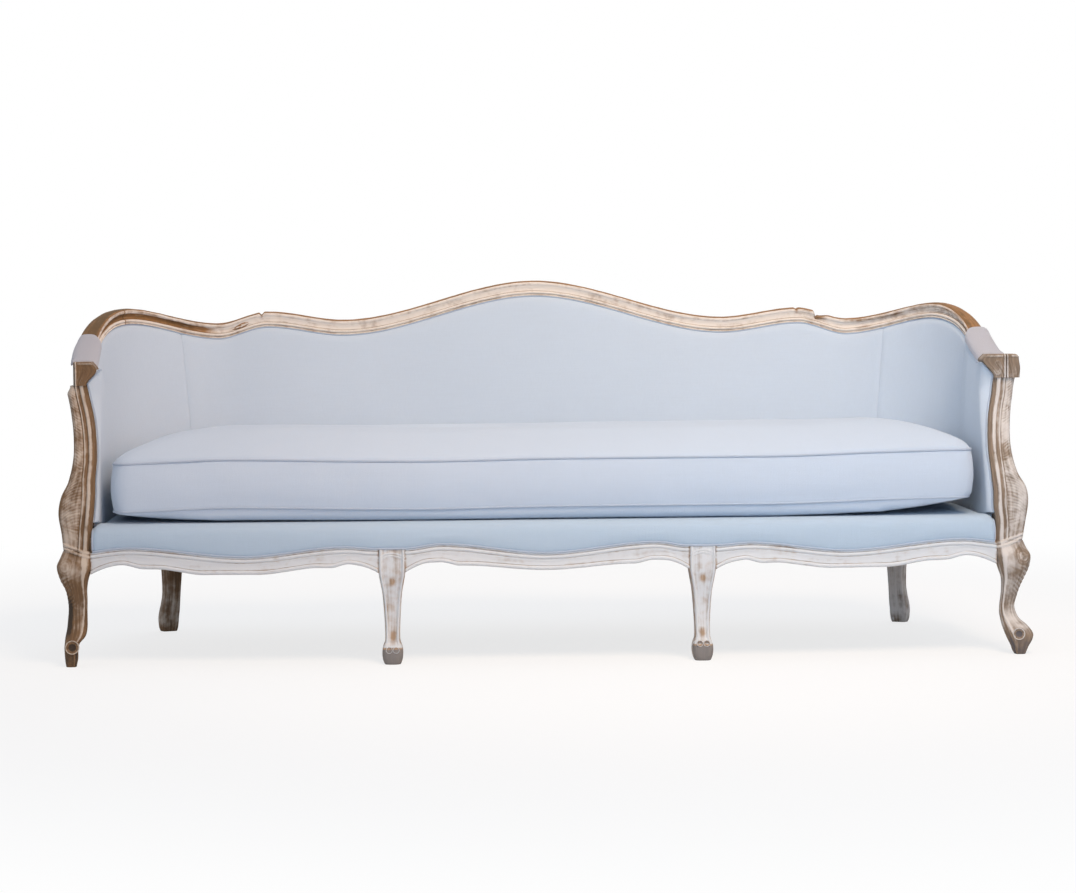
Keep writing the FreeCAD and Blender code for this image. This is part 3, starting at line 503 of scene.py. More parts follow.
class Shader(Nodes):
    """Builds one material."""

    def __init__(self, name: str) -> None:
        """Starts a material with a Principled BSDF and an output."""
        self.material = bpy.data.materials.new(name)
        self.material.use_nodes = True
        super().__init__(self.material.node_tree)
        self.output = self.tree.nodes.new("ShaderNodeOutputMaterial")
        self.surface = self.tree.nodes.new("ShaderNodeBsdfPrincipled")
        self.tree.links.new(self.surface.outputs[0], self.output.inputs[0])

    def feed(self, name: str, value: object) -> None:
        """Sets or links one input of the Principled BSDF."""
        if isinstance(value, Link):
            self.tree.links.new(value.socket, self.surface.inputs[name])
        else:
            self.surface.inputs[name].default_value = value

    def mix(self, share: "Link | float", low: object, high: object) -> Link:
        """Colour between two colours."""
        return self.add("ShaderNodeMix", {"data_type": "RGBA"}, {0: share, 6: low, 7: high}, 2)

    def coordinates(self, kind: str, scale: tuple[float, float, float]) -> Link:
        """Object or UV coordinates, scaled."""
        found = self.add("ShaderNodeTexCoord", {}, {}, kind)
        return self.add("ShaderNodeMapping", {}, {"Vector": found, "Scale": scale})

    def cloud(self, where: Link, scale: float, detail: float = 3.0) -> Link:
        """Noise from about 0.3 to 0.7."""
        return self.add("ShaderNodeTexNoise", {}, {"Vector": where, "Scale": scale, "Detail": detail}, 0)

    def attribute(self, name: str) -> Link:
        """Value of a mesh attribute."""
        return self.add("ShaderNodeAttribute", {"attribute_name": name}, {}, "Fac")

    def bump(self, height: Link, strength: float, distance: float) -> Link:
        """Normal from a height."""
        return self.add("ShaderNodeBump", {}, {"Strength": strength, "Distance": distance, "Height": height})


Colour = tuple[float, float, float, float]


def colour(code: str) -> Colour:
    """Linear colour from a hexadecimal screen colour."""
    parts = [int(code[i:i + 2], 16) / 255.0 for i in (0, 2, 4)]
    red, green, blue = (v / 12.92 if v <= 0.04045 else ((v + 0.055) / 1.055) ** 2.4 for v in parts)
    return red, green, blue, 1.0


def toned(tone: Colour, gain: float) -> Colour:
    """Colour made darker or brighter."""
    red, green, blue = (min(1.0, gain * v) for v in tone[:3])
    return red, green, blue, 1.0


@dataclass(frozen=True)
class LimedWood:
    """Wood with lime rubbed into its grain and mouldings."""

    name: str
    heart: Colour
    lime: Colour
    grime_and_shade: Colour
    lime_shift: float = 0.0
    patchiness: float = 0.9

    def material(self) -> Finish:
        """Material whose lime follows the mouldings and the grain."""
        shader = Shader(self.name)
        grain_at = shader.coordinates("UV", (9.0, 160.0, 1.0))
        pores_at = shader.coordinates("UV", (26.0, 520.0, 1.0))
        solid_at = shader.coordinates("Object", (1.0, 1.0, 1.0))
        grain = shader.cloud(grain_at, 1.0, 4.0)
        pores = shader.cloud(pores_at, 1.0, 2.0)
        patches = shader.cloud(solid_at, 17.0, 5.0)
        blots = shader.cloud(solid_at, 60.0, 4.0)
        given = shader.attribute("lime") + self.lime_shift
        rub = given + (patches - 0.5) * (2.2 * self.patchiness) + (grain - 0.5) * 1.1 + (blots - 0.5) * 0.9
        mask = rub.between(0.05, 0.95)
        # Negative lime mixes in the darkest colour: real grime at joints, and painted shade where the relief sets
        # it.
        dark = (0.0 - given + (blots - 0.5) * 0.9).between(0.1, 1.0)
        heart = shader.mix(grain.between(0.32, 0.68), toned(self.heart, 0.62), self.heart)
        body = shader.mix(mask * 0.94, heart, self.lime)
        flecks = pores.between(0.6, 0.75) * 0.35
        pale = shader.mix(flecks, body, self.lime)
        shader.feed("Base Color", shader.mix(dark * 0.85, pale, self.grime_and_shade))
        shader.feed("Roughness", 0.58 + grain * 0.25)
        shader.feed("Specular IOR Level", 0.3)
        height = grain * 0.6 + pores * 0.3 + blots * 0.5
        shader.feed("Normal", shader.bump(height, 0.55, 0.0012))
        return shader.material


@dataclass(frozen=True)
class PlainWood:
    """Unfinished frame wood inside the sofa."""

    name: str
    heart: Colour

    def material(self) -> Finish:
        """Plain grain on Object coordinates."""
        shader = Shader(self.name)
        grain = shader.cloud(shader.coordinates("Object", (6.0, 60.0, 60.0)), 1.0, 4.0)
        shader.feed("Base Color", shader.mix(grain.between(0.3, 0.7), toned(self.heart, 0.6), self.heart))
        shader.feed("Roughness", 0.6 + grain * 0.3)
        shader.feed("Normal", shader.bump(grain, 0.3, 0.001))
        return shader.material


@dataclass(frozen=True)
class Linen:
    """Plain-woven cloth with slubs."""

    name: str
    tone: Colour
    thread: float = 0.0011
    slub: float = 0.06
    sheen: float = 0.25

    def material(self) -> Finish:
        """Weave, slubs and soft shading differences on Object coordinates."""
        shader = Shader(self.name)
        at = shader.add("ShaderNodeTexCoord", {}, {}, "Object")
        x, y, z = (shader.add("ShaderNodeSeparateXYZ", {}, {0: at}, i) for i in range(3))
        turn = 2.0 * pi / self.thread
        warp = ((x * 0.94 + y * 0.34) * turn).sine()
        weft = ((z + y * 0.9) * turn).sine()
        weave = warp * weft
        long_slubs = shader.cloud(shader.coordinates("Object", (14.0, 260.0, 420.0)), 1.0, 3.0)
        high_slubs = shader.cloud(shader.coordinates("Object", (420.0, 260.0, 14.0)), 1.0, 3.0)
        wash = shader.cloud(shader.coordinates("Object", (1.0, 1.0, 1.0)), 5.0, 3.0)
        slubs = (long_slubs + high_slubs) * 0.5
        light = (slubs - 0.5) * (4.0 * self.slub) + (wash - 0.5) * 0.1 + weave * 0.015
        shade = (light + 0.62).between(0.0, 1.25)
        shader.feed("Base Color", shader.mix(shade, toned(self.tone, 0.8), toned(self.tone, 1.12)))
        shader.feed("Roughness", 0.88)
        shader.feed("Specular IOR Level", 0.2)
        shader.feed("Sheen Weight", self.sheen)
        shader.feed("Sheen Roughness", 0.6)
        height = weave * 0.35 + slubs * 2.0
        shader.feed("Normal", shader.bump(height, 0.5, 0.0006))
        return shader.material


BACK_LINEN = Linen("back_linen", colour("CBD8E5"))
# The cushion's linen is the back's, made a little darker and bluer: painted cool shade of its front.
CUSHION_LINEN = Linen("cushion_linen", colour("C4D3E4"), slub=0.05)
# The same linen, darker and bluer still, on the front border and the deck: painted cool shade of the front-facing
# border.
BORDER_LINEN = Linen("border_linen", colour("B3C8DB"))
# The same linen, greyer and darker on the arm pads: painted shade.
PAD_LINEN = Linen("pad_linen", colour("B7B7BF"), slub=0.04)
PIPING_LINEN = Linen("piping_linen", colour("AFBDCF"), slub=0.03)
CREST_WOOD = LimedWood("crest_wood", colour("9E754B"), colour("E9E0D5"), colour("5A4528"), 0.0, 0.45)
# CARVED_WOOD and SHADED_WOOD are one limed wood. SHADED_WOOD, used on the left-hand pieces, is its darker, warmer
# copy: painted shade of the sofa's dim left end.
CARVED_WOOD = LimedWood("carved_wood", colour("8F7D6B"), colour("D2CDC8"), colour("55545A"), 0.08, 0.75)
SHADED_WOOD = LimedWood("shaded_wood", colour("7F6347"), colour("C4B8AA"), colour("2C2722"), 0.04, 0.75)
PALE_WOOD = LimedWood("pale_wood", colour("B39980"), colour("D1D7DC"), colour("77787A"), 0.3, 0.45)
INNER_WOOD = PlainWood("inner_wood", colour("B99468"))


# Trims laid along paths

class PathTrims:
    """Piping, welts and tacks, laid along paths by Geometry Nodes."""

    def __init__(self) -> None:
        """Builds the two node trees."""
        self.cord = self._tree("round_trim", self._sweep)
        self.tacks = self._tree("row_of_tacks", self._scatter)

    @staticmethod
    def _tree(name: str, fill: Callable[[Nodes, Link, Link], Link]) -> bpy.types.NodeTree:
        """A tree from a path of edges to a dressed mesh, with its sizes and finish as inputs."""
        tree = bpy.data.node_groups.new(name, "GeometryNodeTree")
        kinds = {"Path": "Geometry", "Radius": "Float", "Pitch": "Float", "Finish": "Material"}
        for word, kind in kinds.items():
            tree.interface.new_socket(word, in_out="INPUT", socket_type="NodeSocket" + kind)
        tree.interface.new_socket("Mesh", in_out="OUTPUT", socket_type="NodeSocketGeometry")
        nodes = Nodes(tree)
        path, radius, pitch, finish = (nodes.add("NodeGroupInput", {}, {}, word) for word in kinds)
        curve = nodes.add("GeometryNodeMeshToCurve", {}, {"Mesh": path})
        steps = nodes.add("GeometryNodeResampleCurve", {"mode": "LENGTH"}, {"Curve": curve, "Length": pitch})
        real = nodes.add("GeometryNodeRealizeInstances", {}, {"Geometry": fill(nodes, steps, radius)})
        dressed = nodes.add("GeometryNodeSetMaterial", {}, {"Geometry": real, "Material": finish})
        nodes.add("NodeGroupOutput", {}, {"Mesh": dressed})
        return tree

    @staticmethod
    def _sweep(nodes: Nodes, path: Link, radius: Link) -> Link:
        """Round cord along the path."""
        circle = nodes.add("GeometryNodeCurvePrimitiveCircle", {}, {"Resolution": 10, "Radius": radius})
        return nodes.add("GeometryNodeCurveToMesh", {}, {"Curve": path, "Profile Curve": circle, "Fill Caps": True})

    @staticmethod
    def _scatter(nodes: Nodes, path: Link, radius: Link) -> Link:
        """One rounded tack head at every step."""
        head = nodes.add("GeometryNodeMeshIcoSphere", {}, {"Radius": radius, "Subdivisions": 1})
        tangent = nodes.add("GeometryNodeInputTangent", {}, {})
        turn = nodes.add("FunctionNodeAlignRotationToVector", {"axis": "X"}, {"Vector": tangent})
        return nodes.add("GeometryNodeInstanceOnPoints", {}, {"Points": path, "Instance": head, "Rotation": turn})

    def lay(self, name: str, paths: Sequence[Sequence[Vector]], radius: float, pitch: float,
            finish: Finish, loop: bool = False, tacks: bool = False) -> Piece:
        """Lays trim along paths and bakes it to a plain mesh.

        Args:
            name: name of the piece.
            paths: rows of points.
            radius: radius of the cord or of a tack.
            pitch: step along the path.
            finish: material.
            loop: whether each path closes on itself.
            tacks: whether to set a row of tacks in place of a cord.

        Returns:
            The piece.
        """
        edges: list[tuple[int, int]] = []
        start = 0
        for path in paths:
            edges += [(start + i, start + i + 1) for i in range(len(path) - 1)]
            if loop:
                edges.append((start + len(path) - 1, start))
            start += len(path)
        mesh = bpy.data.meshes.new(name + "_path")
        mesh.from_pydata([point for path in paths for point in path], edges, [])
        piece = linked(name, mesh)
        given = {"Radius": radius, "Pitch": pitch, "Finish": finish}
        modifier = piece.modifiers.new("trim", "NODES")
        modifier.node_group = self.tacks if tacks else self.cord
        for item in modifier.node_group.interface.items_tree:
            if item.name in given:
                modifier[item.identifier] = given[item.name]
        bake(piece)
        piece.data.shade_smooth()
        bpy.data.meshes.remove(mesh)
        return piece


# Show-wood

@dataclass(frozen=True)
class CrestRails:
    """The four glued lengths of the moulded crest."""

    pitch: float = 0.003
    bead: float = 0.0042
    left_nick: float = 0.745
    right_nick: float = 0.726
    right_step: float = 0.777
    step_drop: float = 0.01
    leaf_start: float = 0.034
    leaf_run: float = 0.046
    repair_line: float = 1.165

    def nick(self, station: float) -> float:
        """How far the carved scroll ends cut down into the top line."""
        if station < 0.0:
            return 0.008 * max(0.0, 1.0 - abs(-station - self.left_nick) / 0.007)
        small = 0.004 * max(0.0, 1.0 - abs(station - self.right_nick) / 0.006)
        fall = self.step_drop * ease(self.right_step - 0.002, self.right_step + 0.002, station)
        back = fade(self.right_step + 0.006, self.right_step + 0.045, station)
        notch = 0.007 * max(0.0, 1.0 - abs(station - self.right_step - 0.002) / 0.006)
        return small + fall * back + notch

    def spray(self, station: float, share: float) -> tuple[float, float]:
        """Carved leaf beside the nick on each side: its relief and lime at a place across the cove."""
        walk = abs(station)
        start = self.left_nick if station < 0.0 else self.right_step
        if station > 0.0:
            return 0.0, -1.3 * bead(start + 0.001, 0.0022, walk) * fade(0.45, 0.6, share)
        run = (walk - start - self.leaf_start) / self.leaf_run
        if not 0.0 < run < 1.0:
            return 0.0, 0.0
        middle = 0.42 + 0.28 * run
        away = (share - middle) / (0.4 * sin(pi * run ** 0.8) + 0.05)
        inside = max(0.0, 1.0 - away * away)
        rib = cos(2.0 * pi * (run * 3.0 - 0.6 * abs(away)))
        rim = bead(1.0, 0.34, abs(away)) + 0.7 * bead(0.45, 0.18, abs(away)) * inside
        return 0.0022 * inside ** 0.5 + 0.001 * rib * inside, 0.3 * rib * inside - 1.15 * rim

    def section(self, station: float) -> Section:
        """Moulded section: rounded back, edge bead, cove and inner bead."""
        top, low = PLAN.crest_top(station), PLAN.crest_bottom(station)
        face = top - low
        walk = abs(station)
        # The ears are browner, and worn darker on their rounded backs. On the left ear both are much stronger, as
        # painted shade of the dim left end.
        brown = ease(0.84, 0.96, walk) if station < 0.0 else ease(0.9, 1.14, walk)
        pale = 0.85 - (1.3 if station < 0.0 else 0.24) * brown
        plain = fade(0.78, 0.98, walk)
        edge_bead, groove = 0.0028 - 0.0012 * plain, 0.0145 + 0.0024 * plain
        worn_and_shaded = (1.1 if station < 0.0 else 0.5) * brown
        rows = [(-0.025, face, 0.0), (-0.025, 0.7 * face, 0.1), (-0.025, 0.45 * face, 0.1),
                (-0.0235, 0.28 * face, 0.15), (-0.02, 0.14 * face, 0.3 - worn_and_shaded), (-0.014, 0.05 * face, 0.4 - worn_and_shaded),
                (-0.006, 0.01 * face, 0.35 - worn_and_shaded), (0.003, 0.0, 0.2 - worn_and_shaded), (0.01, 0.0008, 0.0 - worn_and_shaded),
                # The first of these rows, and at the ears also the second, is dark: a painted shadow line along the
                # crest's top edge.
                (0.015, 0.0018, -0.45), (0.0172, 0.0036, -0.35 + 0.4 * plain)]
        rows += half_round((0.0172, 0.0088), (edge_bead, self.bead), 0.55 + 0.25 * plain)
        rows.append((groove, 0.0142, pale - 0.25 * brown))
        for step in range(13):
            share = step / 12.0
            drop = 0.0155 + (face - 0.029) * share
            hollow = (0.003 - 0.0022 * plain) * sin(pi * share)
            lift, shade = self.spray(station, share)
            rows.append((0.015 + 0.0019 * plain - hollow + lift, drop, pale + shade))
        rows.append((0.015, face - 0.0128, -0.3))
        rows += half_round((0.0186, face - 0.0086), (0.0036, 0.0038), 0.85)
        rows += [(0.018, face - 0.0042, 0.2), (0.0205, face - 0.0034, 0.7), (0.0222, face - 0.0018, 0.8),
                 (0.0215, face, 0.4)]
        shift = PLAN.lean(station, top)
        cut = self.nick(station)
        joint = 0.9 if station < 0.0 and abs(walk - self.repair_line) < 0.6 * self.pitch else 0.0
        points, tints = [], []
        for inward, drop, lime in rows:
            share = max(0.0, 1.0 - drop / 0.024)
            inward += PLAN.ear_width(station) * ease(0.0, 0.014, inward)
            point = PLAN.on_line(station, shift + inward, top - drop - cut * share)
            wear = 0.0005 * ripple(point, 45.0, 3.0)
            points.append(point + Vector((0.0, wear, wear)))
            tints.append(lime - joint - 0.5 * min(1.0, cut * share / 0.005))
        return points, tints

    def build(self, wood: Finish) -> None:
        """Makes the four lengths."""
        joint, end = PLAN.crest_joint, PLAN.arm_rear
        for name, low, high in (("crest_corner_left", -end, -joint), ("crest_rail_left", -joint, 0.0),
                                ("crest_rail_right", 0.0, joint), ("crest_corner_right", joint, end)):
            length = lofted("wood_" + name, map(self.section, spaced(low, high, self.pitch)), 50.0)
            fitted(length, [name], finish=wood)


def slab_ring(side: Side, z: float, reach: tuple[float, float], depth: tuple[float, float], relief: Relief,
              corners: tuple[float, float] = (0.005, 0.01)) -> Section:
    """Level section with a carved front edge.

    Args:
        side: side of the sofa.
        z: height.
        reach: inner and outer distance from the sofa's middle.
        depth: front and back distance behind the toes.
        relief: how far the carving stands forward at an across place and a height, and its lime.
        corners: radii of the inner and outer front corners.

    Returns:
        The points and their lime.
    """
    inner, outer = reach
    front, back = depth
    points, tints = [], []
    for across in spaced(inner, outer, (outer - inner) / 56.0):
        round_in = max(0.0, corners[0] - (across - inner))
        round_out = max(0.0, corners[1] - (outer - across))
        near = corners[0] - sqrt(max(0.0, corners[0] ** 2 - round_in ** 2))
        far = corners[1] - sqrt(max(0.0, corners[1] ** 2 - round_out ** 2))
        forward, lime = relief(across, z)
        calm = min(1.0, (across - inner) / 0.003, (outer - across) / 0.003)
        points.append((across, front + near + far - forward * max(0.0, calm)))
        tints.append(lime)
    for share in (0.15, 0.35, 0.5, 0.65, 0.85, 1.0):
        points.append((outer, front + corners[1] + (back - front - corners[1]) * share))
        tints.append(0.12)
    for share in (0.2, 0.4, 0.6, 0.8, 1.0):
        points.append((outer + (inner - outer) * share, back))
        tints.append(0.05)
    for share in (0.15, 0.35, 0.5, 0.65, 0.85):
        points.append((inner, back + (front + corners[0] - back) * share))
        tints.append(0.1)
    ring = [PLAN.place(side.value * x, y, z) for x, y in points]
    return ring, tints


def knee_band(across: float, z: float) -> float:
    """Slanted double bead where the arm support stands on the leg, from 0 to 1."""
    line = 0.272 + (across - 1.13) * 0.37
    away = z - line
    return max(bead(-0.0045, 0.004, away), bead(0.0045, 0.004, away))


@dataclass(frozen=True)
class ArmSupports:
    """Carved S-shaped supports between the corner legs and the volute blocks."""

    pitch: float = 0.0022
    half_depth: float = 0.024
    shell_low: float = 0.345
    shell_high: float = 0.48
    band: float = 0.0085
    left_shift: float = 0.003
    right_shift: float = 0.0035
    left_cut: float = 0.013
    rows: tuple[tuple[float, float, float, float], ...] = (
        (0.0, -0.034, 0.034, 0.09), (0.12, -0.034, 0.042, 0.088), (0.23, -0.039, 0.048, 0.088),
        (0.33, -0.042, 0.041, 0.094), (0.42, -0.044, 0.022, 0.106), (0.56, -0.046, 0.012, 0.134),
        (0.7, -0.042, 0.014, 0.16), (0.82, -0.034, 0.021, 0.18), (0.92, -0.024, 0.029, 0.19),
        (1.0, -0.018, 0.038, 0.194))

    def row(self, z: float) -> list[float]:
        """Inner edge, outer edge and place behind the toes at a height."""
        share = min(1.0, max(0.0, (z - PLAN.leg_top) / (PLAN.support_top - PLAN.leg_top)))
        inner, outer, behind = smooth_row(self.rows, share)
        return [PLAN.corner_leg_x + inner, PLAN.corner_leg_x + outer, behind]

    def outward(self, side: Side, z: float) -> float:
        """How far the support stands out of its place at a height: the two differ a little by hand."""
        if side is Side.LEFT:
            return -self.left_shift * ease(0.285, 0.33, z) * fade(0.41, 0.47, z)
        return self.right_shift * ease(0.36, 0.42, z) * fade(0.64, 0.69, z)

    def relief(self, across: float, z: float) -> tuple[float, float]:
        """Inner band, two beads, groove and the carved outer panel."""
        inner, outer, _ = self.row(z)
        away = across - inner
        band = self.band
        broad = bead(band + 0.0055, 0.0048, away)
        line = bead(band + 0.0195, 0.0022, away)
        groove = bead(band + 0.0125, 0.0022, away) + 0.6 * bead(band + 0.0226, 0.001, away)
        panel_start = band + 0.024
        forward = -0.005 * fade(0.0, band, away) + 0.0032 * broad + 0.0022 * line - 0.0016 * groove
        lime = 0.2 + 0.75 * broad + 0.65 * line - 0.25 * groove
        if away < band:
            lime = -0.2
        width = outer - inner - panel_start
        if away > panel_start and width > 0.004:
            share = (away - panel_start) / width
            swell = sin(pi * min(1.0, share))
            forward += 0.0026 * swell
            lime = 0.44
            loose = 2.0 * ripple(Vector((40.0 * across, 0.0, 40.0 * z)), 1.0, 3.0)
            shell = ease(self.shell_low - 0.02, self.shell_low + 0.03, z)
            shell *= fade(self.shell_high - 0.03, self.shell_high + 0.02, z)
            lift = (z - self.shell_low) + 0.03 * share * share
            flute = sin(2.0 * pi * lift / 0.008 + loose)
            forward += 0.0013 * shell * flute * swell
            lime += 0.11 * shell * flute
            scales = sin(2.0 * pi * (z + 0.006 * cos(share * pi)) / 0.0078 + 2.0 * loose)
            plain = (1.0 - shell) * ease(0.3, 0.34, z) * min(1.0, abs(loose))
            forward += 0.0009 * plain * scales * swell
            lime += 0.2 * plain * scales - 0.6 * ease(0.82, 1.0, share + 0.04 * flute)
        ring = knee_band(across, z)
        return forward + 0.0038 * ring, lime + 0.6 * ring

    def section(self, side: Side, z: float) -> Section:
        """Level section of one support."""
        inner, outer, behind = self.row(z)
        if side is Side.LEFT:
            outer -= self.left_cut * ease(0.668, 0.691, z)
        ring, tint = slab_ring(side, z, (inner, outer), (behind - self.half_depth, behind + self.half_depth),
                               self.relief, (0.004, 0.011))
        shift = Vector((side.value * self.outward(side, z), 0.0, 0.0))
        return [point + shift for point in ring], tint

    def build(self, woods: Woods) -> None:
        """Makes both supports."""
        for side in Side:
            heights = spaced(PLAN.leg_top, PLAN.support_top, self.pitch)
            piece = lofted("wood_arm_support_" + side.word, (self.section(side, z) for z in heights), 60.0)
            fitted(piece, ["arm_support_" + side.word], finish=woods[side])


@dataclass(frozen=True)
class SlipTenons:
    """Loose tenons below and above both arm supports, the upper left one inside its narrower block."""

    supports: ArmSupports
    width: float = 0.03
    thick: float = 0.014
    length: float = 0.044
    left_inward: float = 0.011

    def build(self, wood: Finish) -> None:
        """Makes the four tenons as one piece."""
        pieces = []
        for side in Side:
            for joint in (PLAN.leg_top, PLAN.support_top):
                inner, outer, behind = self.supports.row(joint)
                middle = (inner + outer) / 2.0
                if side is Side.LEFT and joint > PLAN.leg_top:
                    middle -= self.left_inward
                corners = [(hand * self.width / 2.0, end * self.thick / 2.0)
                           for hand, end in ((-1, -1), (1, -1), (1, 1), (-1, 1))]
                rings = [[PLAN.place(side.value * (middle + x), behind + y, z) for x, y in corners]
                         for z in (joint - self.length / 2.0, joint + self.length / 2.0)]
                pieces.append(skin("tenon", rings, None, 30.0))
        fitted(joined("wood_support_tenons", pieces), ["support_tenons"], finish=wood)


@dataclass(frozen=True)
class ArmRails:
    """Arm rails under the pads, each with the volute block at its front end."""

    pitch: float = 0.004
    block_front: float = 0.164
    block_top: float = 0.7505
    left_outer: float = 1.18
    beads: tuple[float, float] = (1.173, 1.1797)
    crown: float = 0.028
    sink: float = 0.011

    def bar_section(self, station: float) -> Section:
        """Flat-topped section with the cove and the inner bead carried on from the crest."""
        top, low = PLAN.crest_top(station), PLAN.crest_bottom(station)
        seat = top - self.sink
        side = -0.025
        if station < 0.0:
            near = fade(PLAN.arm_front + 0.02, PLAN.arm_front + 0.09, PLAN.behind(station))
            side += (PLAN.arm_line - self.left_outer + 0.004 + PLAN.flare(station, seat) - side) * near
        rows = [(side, low, 0.0), (side, 0.5 * (low + seat), 0.05), (side, seat - 0.003, 0.1),
                (side + 0.003, seat, 0.1), (0.0, seat, 0.0), (0.015, seat, 0.0)]
        for share in (0.15, 0.35, 0.55, 0.75, 0.95):
            hollow = 0.0025 * sin(pi * share)
            rows.append((0.015 - hollow, seat + (low + 0.0128 - seat) * share, -0.1))
        rows += half_round((0.0186, low + 0.0086), (0.0036, -0.0038), 0.9)
        rows += [(0.018, low + 0.0042, -0.2), (0.0205, low + 0.0034, 0.6), (0.0222, low + 0.0018, 0.7),
                 (0.0215, low, 0.3)]
        ear = PLAN.ear_width(station)
        return ([PLAN.on_line(station, a + ear * ease(0.0, 0.014, a), z) for a, z, _ in rows],
                [lime for _, _, lime in rows])

    def block_inner(self, z: float, left: bool = False) -> float:
        """Inner edge of the volute block: a sweep from its tip down to the arm support."""
        if left:
            return through([(0.691, 1.1478), (0.703, 1.1421, -0.75), (0.7155, 1.1295, -0.9),
                            (0.7305, 1.1217, 0.1), (0.751, 1.136, 0.8)], z)
        return through([(0.691, 1.146), (0.703, 1.142, -0.75), (0.7154, 1.1312, -0.95), (0.732, 1.1165, -0.6),
                        (0.736, 1.1152, 0.2), (0.751, 1.1285, 1.0)], z)

    def block_outer(self, side: Side, z: float) -> float:
        """Outer face of the volute block, which on the left has lost its outer scroll."""
        if side is Side.LEFT:
            return self.left_outer
        return through([(0.691, 1.2125), (0.714, 1.214), (0.742, 1.2105), (0.751, 1.203, -1.5)], z)

    def relief(self, side: Side, across: float, z: float) -> tuple[float, float]:
        """Faint oval scroll, lip under the pad, two beads and the rounded outer scroll on the face."""
        shown = 1.0 if side is Side.RIGHT else 0.35
        far = hypot((across - 1.1545) / 0.01, (z - 0.7165) / 0.017)
        rim = bead(1.0, 0.2, far) * shown
        ring = bead(0.6, 0.18, far) * shown
        first, second = (bead(place, 0.0025, across) for place in self.beads)
        between = bead(sum(self.beads) / 2.0, 0.0011, across)
        outer = ease(1.184, 1.191, across) * fade(1.204, 1.214, across)
        lip = bead(self.block_top - 0.0045, 0.0032, z) * (1.0 - ease(1.166, 1.172, across) + outer)
        forward = 0.0016 * rim + 0.001 * ring + 0.0036 * (first + second) - 0.0015 * between
        forward += 0.004 * outer + 0.0018 * lip
        lime = -0.12 + 0.25 * rim + 0.2 * ring + 0.95 * (first + second) - 0.9 * between + 0.5 * lip
        return forward, lime + 0.12 * outer

    def block_section(self, side: Side, z: float) -> Section:
        """Level section of a volute block, rolled in at its top."""
        near_top = max(0.0, 0.006 - (self.block_top - z))
        roll = 0.006 - sqrt(0.006 ** 2 - near_top ** 2)
        return slab_ring(side, z, (self.block_inner(z, side is Side.LEFT), self.block_outer(side, z)),
                         (self.block_front + roll, PLAN.arm_front),
                         lambda across, height: self.relief(side, across, height), (0.004, 0.01))

    def rail(self, side: Side) -> Piece:
        """The rail on one side with the block in front of it."""
        heights = spaced(PLAN.support_top, self.block_top - 0.006, 0.0015)
        heights += [self.block_top - down for down in (0.004, 0.0022, 0.001, 0.0)]
        stations = spaced(PLAN.arm_rear, PLAN.arm_station(PLAN.arm_front), self.pitch)
        bar = lofted("bar_" + side.word, (self.bar_section(side.value * s) for s in stations), 50.0)
        block = lofted("block_" + side.word, (self.block_section(side, z) for z in heights), 50.0)
        return joined("wood_arm_rail_" + side.word, [bar, block])

    def pad_section(self, station: float, fill: float) -> Ring:
        """Crowned pad section that bulges over the inner side of the rail."""
        seat = PLAN.crest_top(station) - self.sink + 0.0004
        high = self.crown * fill
        rear = PLAN.arm_rear
        outer, inner = -0.03, 0.02 + 0.02 * ease(rear - 0.01, rear + 0.06, abs(station))
        if station < 0.0:
            outer += 0.008 * fade(rear, rear + 0.12, -station)
            outer += 0.005 * ease(PLAN.arm_front + 0.1, PLAN.arm_front + 0.01, PLAN.behind(station))
        before = min(1.0, max(0.0, PLAN.behind(station) - PLAN.arm_front) / 0.024)
        outer += 0.011 * (1.0 - sqrt(1.0 - (1.0 - before) ** 2))
        middle, half = (inner + outer) / 2.0, (inner - outer) / 2.0
        rows = [(min(0.0226, inner - 0.006), seat + 0.0002), (-0.008, seat + 0.0002),
                (outer + 0.004, seat + 0.0002), (outer + 0.0005, seat + 0.08 * high)]
        for step in range(17):
            turn = pi * (1.0 - step / 16.0)
            flat = abs(cos(turn)) ** 0.75 * (1.0 if turn < pi / 2.0 else -1.0)
            rows.append((middle + half * flat, seat + 0.22 * high + 0.78 * high * sin(turn) ** 0.62))
        rows += [(inner + 0.0004, seat + 0.15 * high), (inner - 0.0012, seat + 0.07 * high),
                 (inner - 0.004, seat + 0.02 * high)]
        front = PLAN.arm_front
        lift = (self.block_top - 0.002 - seat) * fade(front, front + 0.07, PLAN.behind(station))
        return [PLAN.on_line(station, inward, z + lift * ease(0.01, 0.024, -inward)
                                  * max(0.0, 1.0 - (z - seat) / self.crown)) for inward, z in rows]

